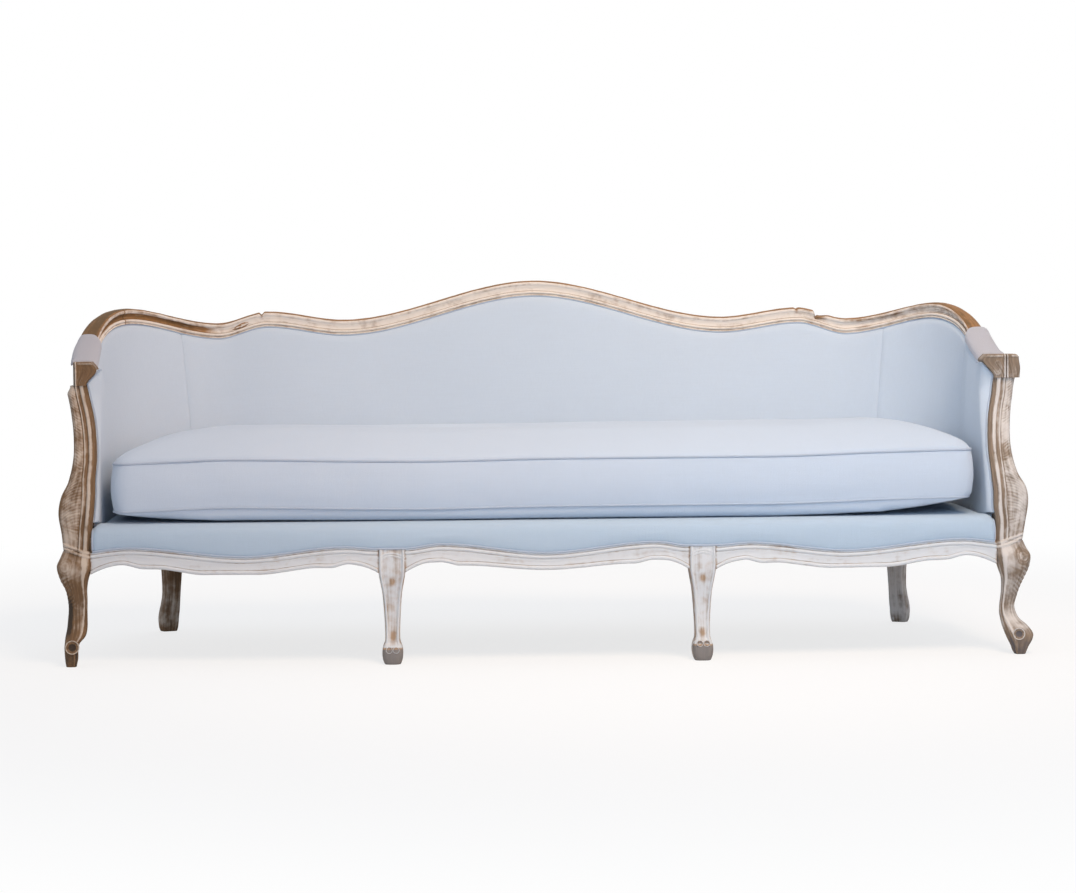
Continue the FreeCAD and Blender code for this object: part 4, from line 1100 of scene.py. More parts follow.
    def pad(self, side: Side, cloth: Finish, trims: PathTrims) -> None:
        """The upholstered pad and its piping on one side."""
        start, end = PLAN.arm_rear + 0.001, PLAN.arm_station(PLAN.arm_front) - 0.001
        rings = []
        for station in spaced(start, end, 0.003):
            behind_end, before_end = station - start, end - station
            rear = 0.38 + 0.62 * sqrt(1.0 - (1.0 - min(1.0, behind_end / 0.045)) ** 2)
            front = 0.88 + 0.12 * sqrt(1.0 - (1.0 - min(1.0, before_end / 0.008)) ** 2)
            ring = self.pad_section(side.value * station, rear * front)
            rings.append([p + Vector((0.0, 0.0, 0.0006 * ripple(p, 22.0, 9.0))) for p in ring])
        piece = skin("arm_pad_cover_" + side.word, rings, None, 55.0)
        fitted(piece, ["arm_pad_" + side.word], finish=cloth)
        outer = [self.pad_section(side.value * s, 1.0)[3] + Vector((side.value * 0.0012, 0.0, -0.0008))
                 for s in spaced(start + 0.004, end - 0.004, 0.004)]
        rear_edge = [p + Vector((0.0, 0.0012, 0.0)) for p in self.pad_section(side.value * start, 0.42)[4:21:2]]
        front_edge = [p + Vector((0.0, -0.0002, 0.0)) for p in self.pad_section(side.value * end, 0.93)[4:23:2]]
        welt = trims.lay("arm_pad_piping_" + side.word, [outer, rear_edge, front_edge], 0.0015, 0.003, cloth)
        fitted(welt)

    def build(self, woods: Woods, cloth: Finish, trims: PathTrims) -> None:
        """Makes rails, blocks and pads."""
        for side in Side:
            fitted(self.rail(side), ["arm_rail_" + side.word], finish=woods[side])
            self.pad(side, cloth, trims)


# Legs

def leg_ring(side: Side, row: Sequence[float], z: float, power: float, relief: Relief, count: int = 72) -> Section:
    """Rounded level section of a leg.

    Args:
        side: side of the sofa.
        row: inner, outer, front and back face.
        z: height.
        power: squareness, 2 for an ellipse and more for a rounded square.
        relief: how far the carving stands out at an angle in turns and a height, and its lime.
        count: points round the section.

    Returns:
        The points and their lime.
    """
    inner, outer, front, back = row
    points, tints = [], []
    for k in range(count):
        turn = 2.0 * pi * k / count
        c, s = cos(turn), sin(turn)
        size = (abs(c) ** power + abs(s) ** power) ** (-1.0 / power)
        out, lime = relief(k / count, z)
        x = (inner + outer) / 2.0 + c * (size * (outer - inner) / 2.0 + out)
        y = (front + back) / 2.0 + s * (size * (back - front) / 2.0 + out)
        points.append(PLAN.place(side.value * x, y, z))
        tints.append(lime)
    return points, tints


def scroll_boss(name: str, centre: Vector, axis: Vector, radius: float, depth: float, eye: float = 0.55) -> Piece:
    """Turned scroll end: a round boss with a raised rim and a dark sunk eye.

    Args:
        name: name of the mesh.
        centre: middle of the shown face.
        axis: direction that the face looks.
        radius: radius of the rim.
        depth: how far the boss reaches back.
        eye: radius of the eye, as a share of the rim's.

    Returns:
        The mesh object, to be joined to its leg.
    """
    out = axis.normalized()
    across = out.cross(Vector((0.0, 0.0, 1.0))).normalized()
    upward = across.cross(out)
    profile = [(0.8, -depth, 0.1), (0.98, -0.7 * depth, 0.1), (1.02, -0.0035, 0.2), (1.0, -0.001, 0.9),
               (0.94, 0.0004, 1.0), (0.87, -0.0003, 0.8), (0.81, -0.0016, 0.0), (eye + 0.12, -0.0012, 0.1),
               (eye, -0.0018, -0.7), (0.8 * eye, -0.0032, -1.1), (0.5 * eye, -0.0036, -1.1), (0.04, -0.0036, -1.1)]
    sections = []
    for share, lift, lime in profile:
        ring = []
        for k in range(28):
            turn = 2.0 * pi * k / 28
            spread = radius * share * (1.0 + 0.06 * sin(turn))
            ring.append(centre + out * lift + across * (spread * cos(turn)) + upward * (spread * sin(turn)))
        sections.append((ring, [lime] * 28))
    return lofted(name, sections, 70.0)


LegRows = tuple[tuple[float, float, float, float, float], ...]


@dataclass(frozen=True)
class CornerFoot:
    """How one corner leg runs and where its scroll sits."""

    rows: LegRows
    scroll: tuple[float, float, float]
    looks: tuple[float, float]
    radius: float


class FootTurn(Enum):
    """The two ways in which the corner feet are carved."""

    OUTWARD = CornerFoot(((0.0, 1.176, 1.203, 0.046, 0.074), (0.008, 1.171, 1.206, 0.041, 0.08),
                          (0.02, 1.167, 1.211, 0.036, 0.086), (0.037, 1.159, 1.221, 0.034, 0.093),
                          (0.052, 1.153, 1.223, 0.037, 0.098), (0.072, 1.147, 1.209, 0.05, 0.103),
                          (0.086, 1.145, 1.193, 0.062, 0.106), (0.103, 1.143, 1.184, 0.07, 0.108),
                          (0.121, 1.144, 1.181, 0.072, 0.108), (0.143, 1.146, 1.186, 0.068, 0.106),
                          (0.166, 1.147, 1.192, 0.06, 0.106), (0.192, 1.145, 1.203, 0.05, 0.108),
                          (0.217, 1.137, 1.213, 0.04, 0.115), (0.248, 1.131, 1.216, 0.038, 0.121),
                          (0.268, 1.13, 1.206, 0.048, 0.122), (0.285, 1.13, 1.199, 0.056, 0.122)),
                         (1.181, 0.032, 0.052), (-0.3, -1.0), 0.015)
    FORWARD = CornerFoot(((0.0, 1.167, 1.192, 0.036, 0.062), (0.01, 1.165, 1.194, 0.033, 0.066),
                          (0.02, 1.163, 1.195, 0.032, 0.068), (0.044, 1.163, 1.197, 0.034, 0.078),
                          (0.056, 1.16, 1.197, 0.04, 0.084), (0.072, 1.147, 1.196, 0.05, 0.092),
                          (0.091, 1.143, 1.193, 0.06, 0.1), (0.114, 1.143, 1.191, 0.066, 0.106),
                          (0.138, 1.143, 1.189, 0.066, 0.107), (0.163, 1.142, 1.19, 0.06, 0.106),
                          (0.188, 1.142, 1.195, 0.052, 0.108), (0.214, 1.138, 1.207, 0.041, 0.115),
                          (0.247, 1.128, 1.214, 0.038, 0.121), (0.268, 1.129, 1.206, 0.048, 0.122),
                          (0.285, 1.13, 1.199, 0.056, 0.122)), (1.1745, 0.0265, 0.049), (-0.1, -1.0), 0.0172)


@dataclass(frozen=True)
class CornerLegs:
    """Cabriole front legs with a carved knee and a scroll foot."""

    pitch: float = 0.0022
    flower_height: float = 0.247
    fan_high: float = 0.222
    fan_low: float = 0.15

    def relief(self, side: Side, turn: float, z: float, row: Sequence[float]) -> tuple[float, float]:
        """Flower and fan on the knee, the edge bead down the inner side, and the slanted band."""
        inner, outer, front, back = row
        angle = turn * 360.0
        across = (inner + outer) / 2.0 + cos(radians(angle)) * (outer - inner) / 2.0
        away = angle - 296.0
        flat = away * pi / 180.0 * (outer - inner + back - front) / 4.0
        far = hypot(flat / 0.0125, (z - self.flower_height) / 0.016)
        shank = fade(0.16, 0.22, z)
        # The left leg is less limed than the right: painted shade of the dim left end.
        lime = 0.27 + 0.15 * shank if side is Side.RIGHT else 0.2 - 0.12 * shank
        out = 0.0
        if far < 1.5:
            shown = 1.0 if side is Side.RIGHT else 0.4
            out += 0.0022 * shown * (bead(0.0, 0.35, far) + 0.7 * bead(0.62, 0.17, far)
                                     + 0.8 * bead(1.05, 0.2, far))
            lime += shown * (0.2 * bead(0.62, 0.17, far) - 0.35 * bead(0.85, 0.1, far)
                             - 0.35 * bead(1.28, 0.12, far))
        fan = (ease(self.fan_low - 0.012, self.fan_low + 0.012, z)
               * fade(self.fan_high - 0.006, self.fan_high + 0.01, z))
        spread = exp(-((away - 10.0) / 34.0) ** 2)
        wave = sin(2.0 * pi * (z + 0.014 * (away / 45.0)) / 0.0105)
        out += 0.0015 * fan * spread * wave
        lime += 0.2 * fan * spread * wave
        edge = bead(232.0 + 8.0 * sin(z * 28.0), 7.0, angle)
        out += 0.0024 * edge * fade(0.23, 0.27, z)
        # The strip just inside the inner edge bead and the front-outer corner are darker: painted shade where the
        # leg's sides turn away.
        lime += 0.75 * edge - 0.45 * (bead(218.0, 9.0, angle) + ease(318.0, 345.0, angle))
        # The left leg's outer front, low on the shank, is painted near black: painted shadow.
        if side is Side.LEFT:
            lime -= 1.6 * ease(284.0, 306.0, angle) * hump(0.12, 0.085, z)
        if angle > 180.0:
            ring = knee_band(across, z) * (1.0 - 0.4 * abs(cos(radians(angle))))
            out += 0.0045 * ring
            lime += 0.6 * ring
        low = fade(0.026, 0.072, z)
        return out, lime - (1.05 if side is Side.RIGHT else 0.65) * low

    def section(self, side: Side, rows: LegRows, z: float) -> Section:
        """Level section of one leg, round below and squarer at the knee."""
        row = smooth_row(rows, z)
        return leg_ring(side, row, z, 2.3 + 1.9 * ease(0.2, 0.27, z), lambda t, h: self.relief(side, t, h, row), 96)

    def build(self, woods: Woods) -> None:
        """Makes both corner legs."""
        for side, foot in ((Side.RIGHT, FootTurn.OUTWARD.value), (Side.LEFT, FootTurn.FORWARD.value)):
            heights = spaced(0.0, PLAN.leg_top, self.pitch)
            leg = lofted("leg", [self.section(side, foot.rows, z) for z in heights], 60.0)
            x, behind, z = foot.scroll
            look = Vector((side.value * foot.looks[0], foot.looks[1], 0.05))
            boss = scroll_boss("boss", PLAN.place(side.value * x, behind, z), look, foot.radius, 0.024)
            whole = joined("wood_front_leg_" + side.word, [leg, boss])
            fitted(whole, ["front_leg_" + side.word], finish=woods[side])


@dataclass(frozen=True)
class MiddleLegs:
    """Straight-on front legs with edge beads and a hoof with two small scrolls."""

    pitch: float = 0.0025
    hoof: float = 0.046
    rows: tuple[tuple[float, float, float, float], ...] = (
        (0.0, 0.0195, 0.006, 0.038), (0.005, 0.022, 0.003, 0.041), (0.014, 0.0246, 0.001, 0.044),
        (0.026, 0.0258, 0.0, 0.046), (0.038, 0.025, 0.001, 0.047), (0.046, 0.0228, 0.006, 0.048),
        (0.053, 0.0198, 0.012, 0.049), (0.062, 0.0183, 0.016, 0.05),
        (0.1, 0.019, 0.023, 0.055), (0.15, 0.022, 0.022, 0.06), (0.18, 0.025, 0.017, 0.062),
        (0.206, 0.0296, 0.011, 0.062), (0.228, 0.0328, 0.007, 0.061), (0.285, 0.033, 0.006, 0.06))

    def relief(self, half: float, across: float, z: float) -> tuple[float, float]:
        """Edge beads and hollow panel above the hoof, arched line at the top."""
        away = half - abs(across - PLAN.middle_leg_x)
        above = ease(self.hoof, self.hoof + 0.01, z)
        rim = bead(0.005, 0.0024, away) * above
        arch = 0.276 - 0.01 * (abs(across - PLAN.middle_leg_x) / 0.03) ** 2
        line = bead(arch, 0.0022, z) + bead(arch - 0.0065, 0.0018, z)
        forward = 0.0022 * rim - 0.0018 * above * ease(0.007, 0.011, away) + 0.0016 * line
        stain = hump(PLAN.middle_leg_x, 0.012, across) * (hump(0.205, 0.018, z) + hump(0.066, 0.022, z))
        # The front face is darker at its side edges: painted shade where it turns away.
        lime = 0.42 + 0.5 * rim + 0.45 * line - 0.7 * stain - 0.55 * fade(0.0, 0.0022, away) * above
        # The white line along the hoof's upper lip is a painted highlight.
        lip = 1.9 * bead(self.hoof - 0.001, 0.002, z)
        return forward, lime + lip - 2.0 * fade(self.hoof - 0.012, self.hoof - 0.002, z)

    def section(self, side: Side, z: float) -> Section:
        """Level section of one leg."""
        half, front, back = smooth_row(self.rows, z)
        middle = PLAN.middle_leg_x
        round_off = 0.006 + 0.009 * fade(0.03, 0.06, z)
        return slab_ring(side, z, (middle - half, middle + half), (front, back),
                         lambda across, height: self.relief(half, across, height), (round_off, round_off))

    def build(self, wood: Finish) -> None:
        """Makes both middle legs."""
        for side in Side:
            heights = spaced(0.0, PLAN.leg_top, self.pitch)
            parts = [lofted("leg", (self.section(side, z) for z in heights), 60.0)]
            for offset in (-0.0086, 0.0086):
                high = 0.0395 + 0.0035 * side.value
                at = PLAN.place(side.value * (PLAN.middle_leg_x + offset), 0.0, high)
                parts.append(scroll_boss("boss", at, Vector((0.0, -1.0, 0.15)), 0.0082, 0.018, 0.74))
            whole = joined("wood_middle_leg_" + side.word, parts)
            fitted(whole, ["middle_leg_" + side.word], finish=wood)


@dataclass(frozen=True)
class RearLegs:
    """Splayed fluted rear legs that run on up as the corner stiles."""

    station: float = 1.018
    half_along: float = 0.029
    splay: float = 0.022
    stile_half: float = 0.023
    frame_thick: float = 0.022
    rows: tuple[Row, ...] = (
        (0.0, 1.0, 0.64), (0.02, 1.0, 0.73), (0.05, 1.0, 0.78), (0.12, 0.95, 0.84), (0.17, 0.75, 0.85),
        (0.24, 0.45, 0.81), (0.32, 0.2, 0.78), (0.44, 0.05, 0.83), (0.55, 0.0, 0.9), (0.68, 0.0, 0.97),
        (0.78, 0.0, 1.0), (1.0, 0.0, 1.0))

    def section(self, side: Side, share: float) -> Section:
        """Level section of one leg at a share of its height."""
        splay, wide = smooth_row(self.rows, share)
        z = PLAN.seat_rail_top * share
        grooved = fade(0.7, 0.78, share) * ease(0.08, 0.16, share)
        foot = 0.4 * fade(0.0, 0.12, share)
        ring, tint = [], []
        for k in range(64):
            turn = 2.0 * pi * k / 64
            c, s = cos(turn), sin(turn)
            size = (abs(c) ** 5.0 + abs(s) ** 5.0) ** (-0.2)
            flute = abs(sin(4.0 * turn)) * grooved
            reach = size * (1.0 - 0.07 * flute)
            station = self.station + self.half_along * wide * c * reach
            inset = PLAN.seat_rail_thick / 2.0 * wide * s * reach - self.splay * splay
            ring.append(PLAN.on_line(side.value * station, inset + PLAN.lean(station, z), z))
            # The left rear leg is less limed than the right: painted shade of the dim left end.
            tint.append(0.37 + 0.23 * side.value + 0.3 * (1.0 - flute) - foot)
        return ring, tint

    def stile(self, side: Side) -> Piece:
        """The plain upper part that the back is built on."""
        front, back = -PLAN.seat_rail_thick / 2.0, self.frame_thick - PLAN.seat_rail_thick / 2.0
        low, high = self.station - self.stile_half, self.station + self.stile_half
        top = min(PLAN.crest_bottom(low), PLAN.crest_bottom(high)) - 0.0004
        corners = ((low, front), (high, front), (high, back), (low, back))
        rings = [[PLAN.on_line(side.value * station, PLAN.lean(station, z) + inset, z) for station,
                  inset in corners] for z in spaced(PLAN.seat_rail_top, top, 0.05)]
        return lofted("stile", ((ring, [0.0] * 4) for ring in rings), 30.0)

    def build(self, woods: Woods) -> None:
        """Makes both rear legs with their stiles."""
        for side in Side:
            leg = lofted("leg", (self.section(side, share) for share in spaced(0.0, 1.0, 0.012)), 60.0)
            whole = joined("wood_rear_leg_" + side.word, [leg, self.stile(side)])
            fitted(whole, ["rear_leg_" + side.word], finish=woods[side])


# Seat rails

@dataclass(frozen=True)
class FrontRails:
    """Serpentine front rail in three bays."""

    pitch: float = 0.005
    thick: float = 0.045
    rebate: float = 0.012
    joint_grime: float = 0.55

    def section(self, x: float, joint: float) -> Section:
        """Two beads with a cove between and the rebate for the border above, darker at a joint."""
        face, low, high = PLAN.front_face(x), PLAN.rail_low(x), PLAN.rail_high(x)
        rows = [(0.004, low, 0.1)]
        rows += half_round((0.0035, low + 0.0052), (-0.0032, 0.0044), 0.7, 6)
        rows.append((0.0042, low + 0.0105, -0.15))
        cove_low, cove_high = low + 0.0115, high - 0.015
        for share in (0.0, 0.2, 0.4, 0.6, 0.8, 1.0):
            rows.append((0.0032 + 0.001 * sin(pi * share), cove_low + (cove_high - cove_low) * share, 0.62))
        rows.append((0.0038, high - 0.014, 0.05))
        rows += half_round((0.0035, high - 0.0088), (-0.0028, 0.0042), 0.7, 6)
        rows += [(0.004, high - 0.0042, -0.2), (0.0022, high - 0.003, 0.5), (0.0022, high, 0.5),
                 (self.rebate, high, 0.0), (self.rebate, PLAN.seat_rail_top, 0.0),
                 (self.thick, PLAN.seat_rail_top, 0.0), (self.thick, low + 0.006, 0.0)]
        ring, tint = [], []
        for inward, z, lime in rows:
            point = PLAN.place(x, face + inward, z)
            wear = 0.0006 * ripple(point, 38.0, 5.0)
            ring.append(point + Vector((0.0, wear, 0.5 * wear)))
            tint.append(lime - joint)
        return ring, tint

    def build(self, wood: Finish) -> None:
        """Makes the three bays."""
        half = PLAN.middle_leg_width / 2.0
        inner, outer = PLAN.middle_leg_x - half, PLAN.middle_leg_x + half
        end = PLAN.corner_leg_x - PLAN.corner_leg_size / 2.0
        for name, low, high in (("front_rail_left", -end, -outer), ("front_rail_centre", -inner, inner),
                                ("front_rail_right", outer, end)):
            places = spaced(low, high, self.pitch)
            joints = [self.joint_grime] + [0.0] * (len(places) - 2) + [self.joint_grime]
            fitted(lofted("wood_" + name, map(self.section, places, joints), 50.0), [name],
                   finish=wood)


@dataclass(frozen=True)
class SeatRails:
    """Curved side rails and the back seat rail."""

    pitch: float = 0.008
    cover: float = 0.0034
    leg_inner: float = 0.989
    leg_outer: float = 1.047

    def section(self, station: float, top: float) -> Section:
        """Shown face with a bead along its lower edge, and the rebated part above."""
        half = PLAN.seat_rail_thick / 2.0
        show, low = half + self.cover, PLAN.seat_rail_bottom
        rows = [(-show + 0.003, low, 0.2)]
        rows += half_round((-show + 0.003, low + 0.0042), (-0.003, 0.0036), 0.7)
        rows += [(-show + 0.0032, low + 0.009, -0.2), (-show + 0.0006, low + 0.011, 0.2),
                 (-show, PLAN.show_line - 0.01, 0.25), (-show, PLAN.show_line - 0.004, 0.3),
                 (-half, PLAN.show_line, 0.0), (-half, top, 0.0), (half, top, 0.0), (half, low, 0.0)]
        shift = PLAN.lean(station, PLAN.seat_rail_top)
        return [PLAN.on_line(station, shift + a, z) for a, z, _ in rows], [lime for _, _, lime in rows]

    def run(self, name: str, places: Sequence[float], top: float, wood: Finish) -> None:
        """One rail through the given stations."""
        piece = lofted("wood_" + name, (self.section(station, top) for station in places), 40.0)
        fitted(piece, [name], finish=wood)

    def build(self, wood: Finish) -> None:
        """Makes the three rails."""
        end = PLAN.arm_station(PLAN.corner_leg_y + PLAN.corner_leg_size / 2.0)
        for side in Side:
            places = [side.value * s for s in spaced(self.leg_outer, end, self.pitch)]
            self.run("side_rail_" + side.word, places, PLAN.seat_rail_top - 0.002, wood)
        self.run("back_rail", spaced(-self.leg_inner, self.leg_inner, self.pitch), PLAN.seat_rail_top, wood)


# Upholstery

@dataclass(frozen=True)
class Covers:
    """Inside and outside covers, in a middle width and one width round each corner."""

    supports: ArmSupports
    rails: ArmRails
    gap: float = 0.0004
    post_cover: float = 0.013
    block_cover: float = 0.01
    roll: float = 0.018
    column: float = 0.01
    row: float = 0.009
    behind: float = 0.0044
    skin_out: float = 0.0194
    skin_thick: float = 0.003
    seam_depth: float = 0.0026
    inside_low: float = 0.3204

    def front_end(self, z: float) -> float:
        """Where the covers end in front at a height: at the border, the arm support or the arm's front."""
        if z < PLAN.deck_top + self.gap:
            return PLAN.front_face(PLAN.border_end) + PLAN.border_depth + self.gap
        post = self.supports.row(z)[2] - self.supports.half_depth + self.post_cover
        block = self.rails.block_front + self.block_cover
        return post + (block - post) * ease(PLAN.support_top - 0.03, PLAN.support_top + 0.01, z)

    def outside_end(self, z: float) -> float:
        """Where the outside covers end in front at a height: behind the border, the support or the block."""
        if z < PLAN.deck_top + self.gap:
            return PLAN.front_face(PLAN.border_end) + PLAN.border_depth + self.gap
        if z < PLAN.support_top:
            return self.supports.row(z)[2] + self.supports.half_depth + self.gap
        return PLAN.arm_front + self.gap

    def wood_inset(self, station: float, behind: float, z: float) -> float:
        """Distance of the support's or block's inner side from the arm line, fading out behind it."""
        inner = self.supports.row(z)[0] + self.supports.outward(Side.LEFT if station < 0.0 else Side.RIGHT, z)
        if z > PLAN.support_top:
            inner = self.rails.block_inner(z, station < 0.0)
        rear = self.supports.row(z)[2] + self.supports.half_depth
        share = fade(rear, rear + 0.04, behind)
        return (PLAN.arm_line - inner) * share + PLAN.flare(station, z)

    def panel(self, side: Side, start: float, close: Along, low: float,
              top: Along, front: Callable[[float, float, float], float],
              back: Callable[[float, float], float], run: float) -> list[Ring]:
        """Upright sections of a panel whose front end follows a slanted line.

        Args:
            side: side of the sofa; the middle width counts as right.
            start: station of its first edge.
            close: station of its last edge at a height.
            low: height of its lower edge.
            top: height of its upper edge at a station.
            front: inset of the shown face at a station, a height and a distance from the nearer edge.
            back: inset of the hidden face at a station and a height.
            run: length of the panel.

        Returns:
            The sections.
        """
        count = round((PLAN.crest_top(0.0) - low) / self.row)
        rings = []
        for u in spaced(0.0, 1.0, self.column / run):
            shown, hidden = [], []
            for share in spaced(0.0, 1.0, 1.0 / count):
                s = start + (close(low) - start) * u
                z = low
                for _ in range(4):
                    z = low + (top(abs(s)) - self.gap - low) * share
                    s = start + (close(z) - start) * u
                edge = min(s - start, close(z) - s)
                shown.append(PLAN.on_line(side.value * s, front(side.value * s, z, edge), z))
                hidden.append(PLAN.on_line(side.value * s, back(side.value * s, z), z))
            rings.append(shown + hidden[::-1])
        return rings

    def inside_face(self, station: float, z: float, edge: float) -> float:
        """Padded face, drawn in at its edges, puckered at the seams and rolled over the arm's front."""
        top = PLAN.cloth_top(station) - self.gap
        tuck = 0.006 * ease(top - 0.014, top, z)
        seam = self.seam_depth * fade(0.0, 0.009, edge)
        pucker = 0.0005 * sin(2.0 * pi * z / 0.016) * exp(-edge / 0.02)
        spot = Vector((station, z, 0.0))
        loose = 0.002 * ripple(spot, 4.0, 2.0) + 0.0005 * ripple(spot, 24.0, 4.0)
        inset = PLAN.inside_inset(station, z) - tuck - seam + pucker + loose
        behind = PLAN.behind(station)
        if behind > PLAN.arm_front + 0.06:
            return inset
        rim = self.wood_inset(station, behind, z) + 0.0026
        away = min(1.0, max(0.0, behind - self.front_end(z)) / self.roll)
        return rim + (max(inset, rim + 0.0028) - rim) * sqrt(1.0 - (1.0 - away) ** 2)

    def outside_face(self, station: float, z: float, edge: float) -> float:
        """Thin cover stretched over the back of the frame."""
        spot = Vector((station, z, 7.0))
        drawn = 0.0012 * fade(0.0, 0.008, edge)
        return PLAN.lean(station, z) - self.skin_out - self.skin_thick + drawn + 0.0003 * ripple(spot, 9.0, 2.0)

    def inside_back_face(self, station: float, z: float) -> float:
        """Hidden face of the padding, kept off the arm support and the block."""
        wood = self.wood_inset(station, PLAN.behind(station), z) + self.gap
        return max(PLAN.lean(station, z) + self.behind, wood)

    def outside_back_face(self, station: float, z: float) -> float:
        """Hidden face of the outside cover."""
        return PLAN.lean(station, z) - self.skin_out

    def panels(self, word: str, low: float, top: Along, end: Along,
               faces: tuple[Callable[[float, float, float], float], Callable[[float, float], float]],
               names: tuple[str, str], cloth: Finish) -> None:
        """Middle width and both side widths of one set of covers."""
        front, back = faces
        seam = PLAN.inside_seam
        rings = self.panel(Side.RIGHT, -seam, lambda z: seam, low, top, front, back, 2.0 * seam)
        middle = skin(word + "_back_cover", rings, None, 60.0)
        fitted(middle, [names[0]], finish=cloth)
        first = seam + self.gap
        for side in Side:
            rings = self.panel(side, first, lambda z: PLAN.arm_station(end(z)), low, top, front, back, 0.72)
            piece = skin(word + "_side_cover_" + side.word, rings, None, 60.0)
            fitted(piece, [names[1] + "_" + side.word], finish=cloth)

    def piping(self, cloth: Finish, trims: PathTrims) -> None:
        """Cord under the crest inside and out, down the arm supports, and along the show wood."""
        far = PLAN.arm_station(self.front_end(PLAN.support_top)) - 0.002
        inner = [PLAN.on_line(s, self.inside_face(s, PLAN.cloth_top(s) - 0.001, 0.1) + 0.0012,
                              PLAN.cloth_top(s) - 0.0016) for s in spaced(-far, far, 0.006)]
        end = PLAN.arm_station(PLAN.arm_front) - 0.003
        outer = [PLAN.on_line(s, self.outside_face(abs(s), PLAN.crest_bottom(s), 0.1) - 0.0004,
                              PLAN.crest_bottom(s) - 0.0022) for s in spaced(-end, end, 0.006)]
        fitted(trims.lay("crest_piping_inside", [inner], 0.0019, 0.004, cloth))
        fitted(trims.lay("crest_piping_outside", [outer], 0.0022, 0.004, cloth))
        low = PLAN.show_line + 0.0022
        foot_end = PLAN.arm_station(self.outside_end(low)) - 0.004
        foot = [PLAN.on_line(s, self.outside_face(abs(s), low, 0.1) - 0.0004, low)
                for s in spaced(-foot_end, foot_end, 0.006)]
        fitted(trims.lay("show_wood_piping", [foot], 0.0021, 0.004, cloth))
        rows = []
        top = PLAN.cloth_top(PLAN.arm_station(self.front_end(PLAN.support_top))) - 0.002
        for side in Side:
            inside = []
            for z in spaced(PLAN.deck_top + 0.006, top, 0.007):
                behind = self.front_end(z) + 0.0012
                s = side.value * PLAN.arm_station(behind)
                inside.append(PLAN.on_line(s, self.wood_inset(s, behind, z) + 0.0034, z))
            outside = []
            for z in spaced(PLAN.deck_top + 0.006, PLAN.support_top - 0.002, 0.007):
                s = PLAN.arm_station(self.outside_end(z) + 0.0026)
                outside.append(PLAN.on_line(side.value * s, self.outside_face(s, z, 0.004) + 0.0006, z))
            rows += [inside, outside]
        fitted(trims.lay("arm_front_piping", rows, 0.0022, 0.004, cloth))

    def build(self, cloth: Finish, cord: Finish, trims: PathTrims) -> None:
        """Makes all covers and their piping."""
        self.panels("inside", self.inside_low, PLAN.cloth_top, self.front_end,
                    (self.inside_face, self.inside_back_face), ("inside_back", "inside_wing"), cloth)
        self.panels("outside", PLAN.show_line + self.gap, PLAN.crest_bottom, self.outside_end,
                    (self.outside_face, self.outside_back_face), ("outside_back", "outside_arm"), cloth)
        self.piping(cord, trims)


